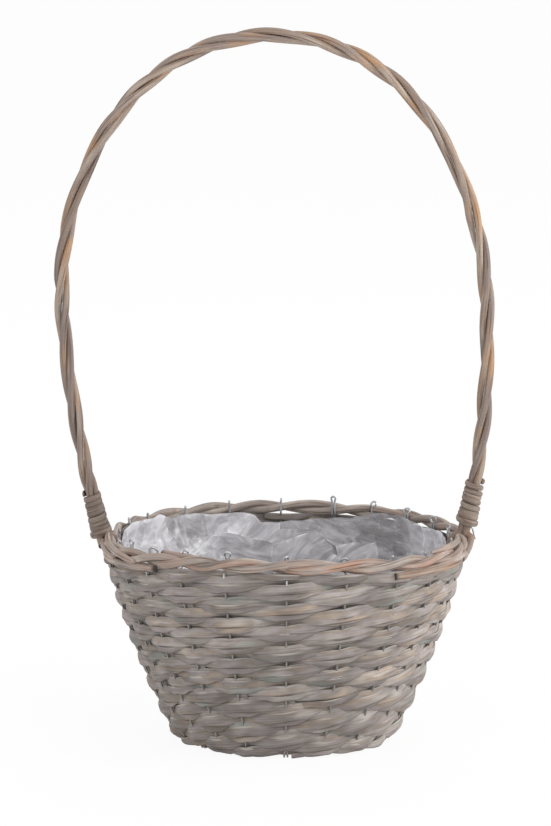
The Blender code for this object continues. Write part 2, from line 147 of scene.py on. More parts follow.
class Paint:
    """A material in the making, with one call for each kind of node that the finishes use."""

    def __init__(self, name: str) -> None:
        """Start the material with its shader."""
        self.material = bpy.data.materials.new(name)
        self.material.use_nodes = True
        self.tree = self.material.node_tree
        self.shader = self.tree.nodes["Principled BSDF"]

    def add(self, kind: str, inputs: dict[str | int, object] | None = None,
            **settings: object) -> bpy.types.Node:
        """Add a node; see add_node."""
        return add_node(self.tree, kind, inputs, **settings)

    def place(self) -> Socket:
        """Place on the object, in metres."""
        return self.add("TexCoord").outputs["Object"]

    def along(self, length_mm: float, width_mm: float) -> Socket:
        """Place along a strip or rod by its UV map, in marks of a given length and width."""
        flat = self.add("UVMap", uv_map="UVMap").outputs[0]
        return self.add("Mapping", {0: flat, "Scale": (1000 / length_mm, 1000 / width_mm, 1)}).outputs[0]

    def mark(self, name: str) -> Socket:
        """Value of a piece's attribute."""
        return self.add("Attribute", attribute_name=name).outputs["Fac"]

    def noise(self, place: Socket, detail: float, roughness: float = 0.5, size_mm: float = 1000.0,
              **settings: object) -> bpy.types.Node:
        """Soft irregular pattern.

        Args:
            place: Where it is read.
            detail: How many finer layers it has.
            roughness: How strong these are.
            size_mm: Size of its largest marks.
            settings: Other attributes of the node.

        Returns:
            Its node.
        """
        return self.add("TexNoise", {"Vector": place, "Scale": 1000 / size_mm, "Detail": detail,
                                     "Roughness": roughness}, **settings)

    def spread(self, value: Socket, by: Spread) -> Socket:
        """Turn a value to another range, held at its ends."""
        return self.add("MapRange", {0: value, 1: by.start, 2: by.end, 3: by.least, 4: by.most}).outputs[0]

    def math(self, operation: str, *values: Socket | float, clamp: bool = False) -> Socket:
        """Work out a value from others."""
        return self.add("Math", dict(enumerate(values)), operation=operation, use_clamp=clamp).outputs[0]

    def part(self, source: Socket, number: int) -> Socket:
        """One channel of a colour."""
        return self.add("SeparateColor", {0: source}).outputs[number]

    def mix(self, share: Socket | float, first: Socket | tuple, second: Socket | tuple,
            blend: str = "MIX") -> Socket:
        """Mix two colours; the share is that of the second."""
        return self.add("Mix", {0: share, 6: first, 7: second}, data_type="RGBA", blend_type=blend).outputs[2]

    def cover(self, colour: Socket | tuple, pattern: Socket, coat: Coat) -> Socket:
        """Lay a coat over a colour where a pattern asks for it."""
        share = self.spread(pattern, Spread(coat.start, coat.end, 0.0, coat.share))
        return self.mix(share, colour, linear(coat.colour))

    def lit(self, colour: Socket, light: Socket) -> Socket:
        """Make a colour lighter or darker."""
        grey = self.add("CombineColor", {0: light, 1: light, 2: light}).outputs[0]
        return self.mix(1.0, colour, grey, "MULTIPLY")

    def ramp(self, value: Socket, stops: tuple[tuple[float, str], ...]) -> Socket:
        """Turn a value to a colour by stops, each a place from 0 to 1 and an sRGB hex colour."""
        node = self.add("ValToRGB", {"Fac": value})
        elements = node.color_ramp.elements
        while len(elements) < len(stops):
            elements.new(0.5)
        for element, (place, code) in zip(elements, stops):
            element.position = place
            element.color = linear(code)
        return node.outputs["Color"]

    def done(self, colour: Socket, relief: Socket, strength: float, bump_mm: float,
             inputs: dict[str, object]) -> bpy.types.Material:
        """Finish the material.

        Args:
            colour: Its colour.
            relief: Its relief, from 0 to 1.
            strength: How much of the relief shows.
            bump_mm: Depth of the relief.
            inputs: Value or output for other inputs of its shader.

        Returns:
            The material.
        """
        bump = self.add("Bump", {"Strength": strength, "Distance": bump_mm / 1000, "Height": relief})
        for name, value in {"Base Color": colour, "Normal": bump.outputs[0], **inputs}.items():
            if isinstance(value, Socket):
                self.tree.links.new(value, self.shader.inputs[name])
            else:
                self.shader.inputs[name].default_value = value
        return self.material


def wobble(places: np.ndarray, seed: float, period: float) -> np.ndarray:
    """Smooth irregular wave.

    Args:
        places: Where the wave is wanted.
        seed: Picks one wave among many.
        period: Rough distance between two crests.

    Returns:
        Values from about -1 to 1.
    """
    turn = np.asarray(places) * FULL_TURN / period
    first = np.sin(turn + 12.9898 * seed)
    second = 0.6 * np.sin(1.73 * turn + 78.233 * seed)
    third = 0.4 * np.sin(2.71 * turn + 37.719 * seed)
    return (first + second + third) / 2


def chance(seed: float) -> float:
    """Number from 0 to 1 that is always the same for a seed."""
    return math.sin(seed * 12.9898 + 4.1) * 43758.5453 % 1.0


def around(angle: np.ndarray | float, radius: np.ndarray | float, height: np.ndarray | float) -> np.ndarray:
    """Points at angles from the front.

    Args:
        angle: Angle from the front towards the right.
        radius: Distance from the axis.
        height: Height above the floor.

    Returns:
        Points, one row each.
    """
    angle, radius, height = np.broadcast_arrays(angle, radius, height)
    return np.stack([radius * np.sin(angle), -radius * np.cos(angle), height], axis=-1).astype(float)


def unit(vectors: np.ndarray) -> np.ndarray:
    """Vectors at a length of 1."""
    return vectors / np.linalg.norm(vectors, axis=-1, keepdims=True)


def lengths_along(points: np.ndarray) -> np.ndarray:
    """Length of a line up to each of its points."""
    return np.concatenate([[0.0], np.cumsum(np.linalg.norm(np.diff(points, axis=0), axis=1))])


def smooth_line(keys: np.ndarray, steps: int) -> np.ndarray:
    """Catmull-Rom line through key points.

    Args:
        keys: Key points, one row each.
        steps: Steps between two keys.

    Returns:
        Points of the line, one row each.
    """
    ends = np.vstack([2 * keys[0] - keys[1], keys, 2 * keys[-1] - keys[-2]])
    share = (np.arange(steps) / steps)[:, None]
    spans = [
        0.5 * (2 * b + (c - a) * share + (2 * a - 5 * b + 4 * c - d) * share**2
               + (3 * b - a - 3 * c + d) * share**3)
        for a, b, c, d in zip(ends, ends[1:], ends[2:], ends[3:])
    ]
    return np.vstack([*spans, keys[-1:]])


def select_only(piece: bpy.types.Object) -> None:
    """Deselect everything else and make a piece the active one."""
    bpy.ops.object.select_all(action="DESELECT")
    piece.select_set(True)
    bpy.context.view_layer.objects.active = piece


def turn_outwards(piece: bpy.types.Object) -> None:
    """Turn all faces of a closed piece outwards."""
    select_only(piece)
    bpy.ops.object.mode_set(mode="EDIT")
    bpy.ops.mesh.select_all(action="SELECT")
    bpy.ops.mesh.normals_make_consistent(inside=False)
    bpy.ops.object.mode_set(mode="OBJECT")


def hand_over(piece: bpy.types.Object, material: bpy.types.Material, slot: Slot,
              *nodes: str) -> None:
    """Give a finished piece its material, its body and the CAD nodes that it stands for.

    Args:
        piece: Finished piece.
        material: Its material.
        slot: The record's slot that its finish comes from; not used.
        nodes: CAD nodes that it replaces.
    """
    piece.data.materials.clear()
    piece.data.materials.append(material)
    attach(piece, "root")
    if nodes:
        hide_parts(*nodes)
    LOG.info("%s: %d faces, for %s", piece.name, len(piece.data.polygons), ", ".join(nodes) or "no CAD node")


@dataclass
class SweptBodies:
    """Collects closed bodies that are swept along lines and turns them into one mesh piece."""

    points: list[np.ndarray] = field(default_factory=list)
    quads: list[np.ndarray] = field(default_factory=list)
    quad_places: list[np.ndarray] = field(default_factory=list)
    caps: list[list[int]] = field(default_factory=list)
    cap_places: list[np.ndarray] = field(default_factory=list)
    marks: list[np.ndarray] = field(default_factory=list)
    count: int = 0

    def sweep(self, centres: np.ndarray, out: np.ndarray, profiles: np.ndarray, seed: float,
              tone: np.ndarray | float, hue: np.ndarray | float, closed: bool = False,
              tilt: np.ndarray | float = 0.0, edge_share: np.ndarray | float = 1.0) -> None:
        """Add one body.

        Args:
            centres: Middle of each section, one row each.
            out: Direction that the profile's second coordinate follows, one row each.
            profiles: Outline of each section as pairs of across and out.
            seed: Picks its place in the pattern of its finish.
            tone: How light it is, from 0 to 1, for the whole body or each section; for some parts it also
                carries painted light and shade.
            hue: How strong its tint is, from 0 to 1, for the whole body or each section.
            closed: Whether the body runs back into its start.
            tilt: Turn of each section about the line.
            edge_share: How much of the painted highlight on its upper edge and the dirt and painted shade on
                its lower edge shows.
        """
        steps, corners = profiles.shape[:2]
        if closed:
            along = np.roll(centres, -1, axis=0) - np.roll(centres, 1, axis=0)
        else:
            along = np.gradient(centres, axis=0)
        along = unit(along)
        out = unit(out - (out * along).sum(1, keepdims=True) * along)
        across = np.cross(out, along)
        tilt = np.broadcast_to(tilt, (steps,))[:, None]
        across, out = across * np.cos(tilt) + out * np.sin(tilt), out * np.cos(tilt) - across * np.sin(tilt)
        ring = centres[:, None] + across[:, None] * profiles[..., :1] + out[:, None] * profiles[..., 1:]
        spans = steps if closed else steps - 1
        step, corner = (grid.ravel() for grid in np.mgrid[0:spans, 0:corners])
        after, beside = (step + 1) % steps, (corner + 1) % corners
        quads = np.stack([step * corners + corner, step * corners + beside,
                          after * corners + beside, after * corners + corner], axis=1)
        length = lengths_along(np.vstack([centres, centres[:1]])) + 10 * seed
        outline = profiles.mean(axis=0)
        girth = lengths_along(np.vstack([outline, outline[:1]])) + seed
        corner_steps = ((0, 0), (0, 1), (1, 1), (1, 0))
        places = np.stack([np.stack([length[step + on], girth[corner + side]], axis=1)
                           for on, side in corner_steps], axis=1)
        self.quads.append(quads + self.count)
        self.quad_places.append(places.reshape(-1, 2))
        if not closed:
            for base in (0, (steps - 1) * corners):
                self.caps.append([self.count + base + k for k in range(corners)])
                self.cap_places.append(outline + length[0])
        half_width = np.abs(profiles[..., 0]).max(axis=1, keepdims=True)
        edge = profiles[..., 0] / half_width * np.broadcast_to(edge_share, steps)[:, None]
        marks = np.empty((steps * corners, 3))
        marks[:, 0] = np.repeat(np.broadcast_to(tone, steps), corners)
        marks[:, 1] = np.repeat(np.broadcast_to(hue, steps), corners)
        marks[:, 2] = edge.ravel()
        self.marks.append(marks)
        self.points.append(ring.reshape(-1, 3))
        self.count += steps * corners

    def piece(self, name: str, sharp_degrees: float = 60.0) -> bpy.types.Object:
        """Turn the collected bodies into one mesh piece.

        Args:
            name: Name of the piece.
            sharp_degrees: Edges bent more than this stay sharp.

        Returns:
            The piece, with a UV map in metres and the attributes tone, hue and edge.
        """
        mesh = bpy.data.meshes.new(name)
        quads = np.vstack(self.quads)
        mesh.from_pydata(np.vstack(self.points).tolist(), [], quads.tolist() + self.caps)
        layer = mesh.uv_layers.new(name="UVMap")
        layer.data.foreach_set("uv", np.vstack([*self.quad_places, *self.cap_places]).ravel())
        marks = np.vstack(self.marks)
        for column, label in enumerate(("tone", "hue", "edge")):
            attribute = mesh.attributes.new(label, "FLOAT", "POINT")
            attribute.data.foreach_set("value", np.ascontiguousarray(marks[:, column], dtype=np.float32))
        piece = bpy.data.objects.new(name, mesh)
        bpy.context.collection.objects.link(piece)
        turn_outwards(piece)
        bpy.ops.object.shade_smooth_by_angle(angle=math.radians(sharp_degrees))
        return piece


def round_profiles(radii: np.ndarray, corners: int, squash: float = 0.0, seed: float = 0.0) -> np.ndarray:
    """Outlines of a rod that is not quite round.

    Args:
        radii: Radius of each section.
        corners: Corners of each outline.
        squash: How far it is from round, as a share of the radius.
        seed: Picks its shape.

    Returns:
        Outlines, one for each section.
    """
    turns = np.arange(corners) * FULL_TURN / corners
    bumps = 1 + squash * np.cos(2 * turns + FULL_TURN * seed) + 0.5 * squash * np.cos(3 * turns + 9 * seed)
    outline = np.stack([np.cos(turns) * bumps, np.sin(turns) * bumps], axis=1)
    return radii[:, None, None] * outline[None]


def split_profiles(widths: np.ndarray, bulge_share: float, back_share: float,
                   seed: float = 0.5) -> np.ndarray:
    """Outlines of split willow: a bark side of a few soft facets and a nearly flat back.

    Args:
        widths: Width of each section.
        bulge_share: Height of the bark side as a share of the width.
        back_share: Depth of the back as a share of the width.
        seed: Picks which way its ridge leans.

    Returns:
        Outlines, one for each section.
    """
    lean = 0.22 * (chance(seed + 0.6) - 0.5)
    front = np.array([-0.5, -0.41, -0.22 + lean, 0.02 + lean, 0.24 + lean, 0.42, 0.5])
    rise = np.array([0.0, 0.58, 0.92, 1.0, 0.88, 0.52, 0.0]) * bulge_share
    back = np.array([0.36, 0.0, -0.36])
    depth = np.array([0.85, 1.0, 0.85]) * -back_share
    outline = np.stack([np.concatenate([front, back]), np.concatenate([rise, depth])], axis=1)
    return widths[:, None, None] * outline[None]


def wire_piece(name: str, lines: list[np.ndarray], radius: float) -> bpy.types.Object:
    """Wires bent along lines, made as a curve and turned to a mesh.

    Args:
        name: Name of the piece.
        lines: Points of each wire, one row each.
        radius: Radius of the wire.

    Returns:
        The piece.
    """
    bpy.ops.object.select_all(action="DESELECT")
    bpy.ops.curve.primitive_nurbs_path_add(radius=1.0)
    piece = bpy.context.object
    piece.name = name
    curve = piece.data
    curve.splines.clear()
    for line in lines:
        spline = curve.splines.new("POLY")
        spline.points.add(len(line) - 1)
        spline.points.foreach_set("co", np.hstack([line, np.ones((len(line), 1))]).ravel())
        spline.use_smooth = True
    curve.bevel_depth = radius
    curve.bevel_resolution = 2
    curve.use_fill_caps = True
    bpy.ops.object.convert(target="MESH")
    piece = bpy.context.object
    piece.data.name = name
    turn_outwards(piece)
    return piece


# ---- finishes


@dataclass(frozen=True)
class SplitWillow:
    """Split willow under a grey wash: dull, with long fibres, worn pale patches, a painted highlight along
    the upper edge and dirt and painted shade along the lower edge.
    """

    name: str = "washed split willow"
    tints: tuple[tuple[float, str], ...] = (
        (0.10, "868984"), (0.30, "867C74"), (0.48, "918988"), (0.60, "867C74"), (0.85, "9C8B7C"))
    hue_share: float = 0.35
    patch_tint: Spread = Spread(0.30, 0.70, 0.0, 0.56)
    worn: Coat = Coat("B2ACA6", 0.50, 0.72, 0.55)
    shade: Coat = Coat("62584F", 0.46, 0.30, 0.75)
    streak: Coat = Coat("B2ACA6", 0.54, 0.74, 0.50)
    # painted highlight: a pale line along each strip's upper edge, where light from above falls
    upper_edge_highlight: Coat = Coat("C6BFB5", 0.66, 0.94, 0.62)
    # dirt and painted shade: a dark line along each strip's lower edge, where its shadow falls
    lower_edge_dirt_and_shade: Coat = Coat("463D36", -0.52, -0.92, 0.95)
    weathering: Spread = Spread(0.35, 0.68, 0.86, 1.30)
    light: Spread = Spread(-0.4, 1.6, 0.70, 1.22)
    fibre_width_mm: float = 1.0
    fibre_length_mm: float = 60.0
    patch_width_mm: float = 6.0
    patch_length_mm: float = 24.0
    weather_mm: float = 26.0
    roughness: float = 0.72
    shine: float = 0.35
    bump_mm: float = 0.3

    def build(self) -> bpy.types.Material:
        """Make the material; the fibres follow the strip by its UV map, drawn wide enough to show."""
        paint = Paint(self.name)
        fibre = paint.noise(paint.along(self.fibre_length_mm, self.fibre_width_mm), 4.0, 0.6).outputs["Fac"]
        patch = paint.noise(paint.along(self.patch_length_mm, self.patch_width_mm), 2.0)
        wide = paint.noise(paint.place(), 2.0, 0.6, self.weather_mm).outputs["Fac"]
        tint = paint.spread(paint.part(patch.outputs["Color"], 1), self.patch_tint)
        colour = paint.ramp(paint.math("MULTIPLY_ADD", paint.mark("hue"), self.hue_share, tint), self.tints)
        colour = paint.cover(colour, patch.outputs["Fac"], self.worn)
        colour = paint.cover(colour, fibre, self.shade)
        colour = paint.cover(colour, fibre, self.streak)
        colour = paint.lit(colour, paint.math("MULTIPLY", paint.spread(paint.mark("tone"), self.light),
                                              paint.spread(wide, self.weathering)))
        edge = paint.mark("edge")
        # Painted highlight along the upper edge, then dirt and painted shade along the lower edge.
        colour = paint.cover(paint.cover(colour, edge, self.upper_edge_highlight), edge, self.lower_edge_dirt_and_shade)
        return paint.done(colour, fibre, 0.8, self.bump_mm,
                          {"Roughness": self.roughness, "Specular IOR Level": self.shine})


@dataclass(frozen=True)
class WillowRod:
    """Round willow rod with its bark under a thin wash: long streaks, dark seams and pale or ruddy rubs."""

    name: str
    bark: str
    pale: str
    seam: str
    ruddy: str
    rub: Spread = Spread(0.42, 0.60)
    pale_range: tuple[float, float, float] = (0.48, 0.66, 0.9)
    seam_range: tuple[float, float, float] = (0.50, 0.34, 0.95)
    light: Spread = Spread(-2.0, 1.0, 0.22, 1.14)
    streak_width_mm: float = 1.2
    streak_length_mm: float = 45.0
    patch_width_mm: float = 8.0
    patch_length_mm: float = 30.0
    roughness: float = 0.55
    shine: float = 0.45
    bump_mm: float = 0.2

    def build(self) -> bpy.types.Material:
        """Make the material; the streaks run along the rod by its UV map."""
        paint = Paint(self.name)
        lengthwise = paint.along(self.streak_length_mm, self.streak_width_mm)
        streak = paint.noise(lengthwise, 5.0, 0.65).outputs["Fac"]
        patch = paint.noise(paint.along(self.patch_length_mm, self.patch_width_mm), 3.0)
        rub = paint.math("MULTIPLY", paint.spread(paint.part(patch.outputs["Color"], 1), self.rub),
                         paint.mark("hue"))
        colour = paint.mix(rub, linear(self.bark), linear(self.ruddy))
        colour = paint.cover(colour, patch.outputs["Fac"], Coat(self.pale, *self.pale_range))
        colour = paint.cover(colour, streak, Coat(self.seam, *self.seam_range))
        colour = paint.lit(colour, paint.spread(paint.mark("tone"), self.light))
        return paint.done(colour, streak, 0.8, self.bump_mm,
                          {"Roughness": self.roughness, "Specular IOR Level": self.shine})


@dataclass(frozen=True)
class GalvanisedWire:
    """Drawn, galvanised wire: grey zinc with a soft sheen above the rim, painted darker in the wall as
    painted shade.
    """

    name: str = "galvanised wire"
    zinc: str = "C9CBCD"
    dull: Coat = Coat("85878A", 0.42, 0.62, 0.8)
    # painted shade: darker below the rim, where the wire runs in the weave
    painted_wall_shade: Coat = Coat("837D77", 0.126, 0.120, 0.85)
    mottle_mm: float = 2.5
    metal: float = 0.65
    roughness: float = 0.42
    bump_mm: float = 0.1

    def build(self) -> bpy.types.Material:
        """Make the material; below the height of the rim it is painted darker, as painted shade where the
        wire runs in the weave.
        """
        paint = Paint(self.name)
        place = paint.place()
        mottle = paint.noise(place, 3.0, size_mm=self.mottle_mm).outputs["Fac"]
        colour = paint.cover(linear(self.zinc), mottle, self.dull)
        colour = paint.cover(colour, paint.add("SeparateXYZ", {0: place}).outputs["Z"], self.painted_wall_shade)
        return paint.done(colour, mottle, 0.3, self.bump_mm,
                          {"Metallic": self.metal, "Roughness": self.roughness})


@dataclass(frozen=True)
class CloudedFilm:
    """Thin clouded polythene: milky where it lies double, clearer elsewhere, with a painted highlight along
    sharp creases.
    """

    name: str = "clouded polythene film"
    milky: str = "ECEBEF"
    shade: str = "A9A7AC"
    patch_mm: float = 36.0
    facet_mm: float = 21.6
    wisp_mm: float = 24.0
    crease_mm: float = 30.0
    drift_mm: float = 1000 / 22
    drift_reach: tuple[float, float, float] = (0.010, 0.010, 0.016)
    wisp_stretch: tuple[float, float, float] = (2.2, 1.0, 0.8)
    wisp_swirl: float = 1.4
    layer_share: float = 0.46
    side: Spread = Spread(-0.11, 0.11, 0.42, -0.10)
    tucked: Spread = Spread(0.078, 0.094, 0.0, 0.50)
    fold: Spread = Spread(0.003, 0.030, 0.34, 0.0)
    fold_fading: Spread = Spread(0.50, 0.64)
    cloud: Spread = Spread(0.38, 0.62, -0.12, 0.30)
    # painted highlight: whiter along the ridges of the creases
    crease_highlight: Spread = Spread(1.30, 1.62, 0.0, 0.85)
    opacity: Spread = Spread(0.0, 1.0, 0.26, 0.90)
    ridge_relief: float = 0.35
    roughness: float = 0.28
    bump_mm: float = 1.7

    def build(self) -> bpy.types.Material:
        """Make the material: patches like folded layers, each with its own lay of wisps."""
        paint = Paint(self.name)
        place = paint.place()
        drift = paint.noise(place, 1.0, size_mm=self.drift_mm)
        bent = paint.add("VectorMath", {0: drift.outputs["Color"], 1: self.drift_reach, 2: place},
                         operation="MULTIPLY_ADD").outputs[0]
        cells = {"Vector": bent, "Scale": 1000 / self.patch_mm}
        layer = paint.part(paint.add("TexVoronoi", cells).outputs["Color"], 0)
        border = paint.add("TexVoronoi", cells, feature="DISTANCE_TO_EDGE").outputs["Distance"]
        lay = paint.math("MULTIPLY_ADD", layer, 2.6, 0.5)
        turned = paint.add("VectorRotate", {"Vector": bent, "Angle": lay}, rotation_type="Y_AXIS").outputs[0]
        stretched = paint.add("Mapping", {0: turned, "Scale": self.wisp_stretch}).outputs[0]
        wisps = paint.noise(stretched, 4.0, 0.62, self.wisp_mm)
        wisps.inputs["Distortion"].default_value = self.wisp_swirl
        wisp = wisps.outputs["Fac"]
        crease = paint.noise(bent, 3.0, 0.45, self.crease_mm, noise_type="RIDGED_MULTIFRACTAL").outputs["Fac"]
        facets = paint.add("TexVoronoi", {"Vector": bent, "Scale": 1000 / self.facet_mm, "Detail": 2.0,
                                          "Roughness": 0.5}).outputs["Distance"]
        across = paint.add("SeparateXYZ", {0: place}).outputs["X"]
        share = paint.math("MULTIPLY_ADD", layer, self.layer_share, paint.spread(across, self.side))
        share = paint.math("MULTIPLY_ADD", paint.spread(border, self.fold),
                           paint.spread(wisp, self.fold_fading), share)
        share = paint.math("ADD", share, paint.spread(across, self.tucked))
        share = paint.math("ADD", share, paint.spread(wisp, self.cloud))
        # Painted highlight along the creases.
        share = paint.math("ADD", share, paint.spread(crease, self.crease_highlight), clamp=True)
        colour = paint.mix(share, linear(self.shade), linear(self.milky))
        relief = paint.math("MULTIPLY_ADD", crease, self.ridge_relief, facets)
        return paint.done(colour, relief, 0.9, self.bump_mm, {
            "Alpha": paint.spread(share, self.opacity), "Roughness": self.roughness, "IOR": 1.5})


@dataclass(frozen=True)
class PaperBackdrop:
    """Matt white studio paper: it keeps a soft shadow and otherwise shows as plain white."""

    name: str = "white studio paper"
    paper: str = "F6F6F6"
    fleck: str = "F3F3F3"
    glow_share: float = 0.93
    grain_mm: float = 3.0
    roughness: float = 0.9

    def build(self) -> bpy.types.Material:
        """Make the material; part of it glows white to the camera and in reflections."""
        paint = Paint(self.name)
        grain = paint.noise(paint.place(), 2.0, size_mm=self.grain_mm).outputs["Fac"]
        colour = paint.mix(grain, linear(self.paper), linear(self.fleck))
        paint.tree.links.new(colour, paint.shader.inputs["Base Color"])
        paint.shader.inputs["Roughness"].default_value = self.roughness
        rays = paint.add("LightPath").outputs
        seen = paint.math("MAXIMUM", rays["Is Camera Ray"], rays["Is Glossy Ray"])
        seen = paint.math("MAXIMUM", seen, rays["Is Transmission Ray"])
        glow = paint.add("Emission", {"Color": WHITE, "Strength": 1.0}).outputs[0]
        mixed = paint.add("MixShader", {0: paint.math("MULTIPLY", seen, self.glow_share),
                                        1: paint.shader.outputs[0], 2: glow}).outputs[0]
        paint.tree.links.new(mixed, paint.tree.nodes["Material Output"].inputs["Surface"])
        return paint.material


# ---- the plan that all parts follow


@dataclass(frozen=True)
class BasketPlan:
    """Sizes that several parts of the basket share."""

    foot_radius: float = 0.0708
    rim_radius: float = 0.1178
    rim_height: float = 0.1290
    wall_bulge: float = 0.0043
    rim_swell_height: float = 0.0072
    stake_count: int = 22
    weaver_count: int = 10
    wire_radius: float = 0.00065
    rim_rod_radius: float = 0.0025
    rope_radius: float = 0.1173
    rope_offset: float = 0.00235
    rope_dent: float = 0.0020
    foot_band_height: float = 0.0412
    foot_row_pitch: float = 0.0093
    upper_row_pitch: float = 0.00706
    first_row_share: float = 0.57
    weave_top: float = 0.1249
    stake_drift_shares: tuple[float, ...] = (
        0.03, 0.19, 0.31, 0.30, 0.25, 0.10, 0.08, 0.11, 0.07, -0.02, -0.07,
        0.07, 0.21, 0.27, 0.41, 0.19, 0.10, 0.11, 0.18, 0.01, -0.11, -0.16,
    )
    rim_swell_shares: tuple[float, ...] = (
        0.90, 0.68, 0.44, 0.25, 0.08, 0.0, 0.0, 0.0, 0.0, 0.0, 0.0,
        0.0, 0.0, 0.0, 0.0, 0.0, 0.0, 0.0, 0.28, 0.56, 0.83, 1.0,
    )

    @property
    def rope_reach(self) -> float:
        """Distance from the middle of the rim's two twined rods to their outside."""
        return self.rope_offset + self.rim_rod_radius

    def rope_line_radius(self, position: np.ndarray | float) -> np.ndarray | float:
        """Radius of the middle of the rim's rope, which the handle's feet press inwards."""
        quarter = self.stake_count / 4
        off = np.abs((np.asarray(position, dtype=float) % (2 * quarter)) - quarter)
        return self.rope_radius - self.rope_dent * np.exp(-(off**2))

    def over_turns(self, values: tuple[float, ...]) -> tuple[np.ndarray, np.ndarray]:
        """Numbers of the hairpins over several turns, with the value that each of them has."""
        index = np.arange(-2 * self.stake_count, 4 * self.stake_count)
        return index, np.array(values)[index % self.stake_count]

    def rim_swell(self, position: np.ndarray | float) -> np.ndarray | float:
        """How far the rim stands above its even height at a position counted in hairpins."""
        index, shares = self.over_turns(self.rim_swell_shares)
        place = np.asarray(position, dtype=float)
        near = (np.interp(place - 0.4, index, shares) + np.interp(place + 0.4, index, shares)) / 2
        return self.rim_swell_height * near

    def wall_radius(self, height: np.ndarray | float) -> np.ndarray | float:
        """Radius of the surface that the hairpins stand in, at a height."""
        share = np.minimum(height / self.rim_height, 1.0)
        cone = self.foot_radius + (self.rim_radius - self.foot_radius) * share
        return cone + 4 * self.wall_bulge * share * (1 - share)

    def angle(self, position: np.ndarray | float) -> np.ndarray | float:
        """Angle at a position counted in hairpins, which may run past a full turn."""
        index, drift = self.over_turns(self.stake_drift_shares)
        return np.interp(position, index, (index + drift) * FULL_TURN / self.stake_count)

    def row_height(self, row: np.ndarray) -> np.ndarray:
        """Height of a row line; the rows of the foot band are taller."""
        above = row - self.foot_band_height / self.foot_row_pitch
        return self.foot_band_height + above * np.where(above > 0, self.upper_row_pitch, self.foot_row_pitch)

    def surface(self, angle: np.ndarray, height: np.ndarray,
                sway: np.ndarray) -> tuple[np.ndarray, np.ndarray]:
        """Points off the wall's middle surface.

        Args:
            angle: Angles from the front.
            height: Heights above the floor.
            sway: Distances outwards from the middle surface.

        Returns:
            Points and the wall's outward directions there.
        """
        small = 1e-4
        slope = (self.wall_radius(height + small) - self.wall_radius(height - small)) / (2 * small)
        lean = np.arctan(slope)
        points = around(angle, self.wall_radius(height) + sway, height)
        out = around(angle, np.cos(lean), -np.sin(lean))
        return points, out


# ---- wall


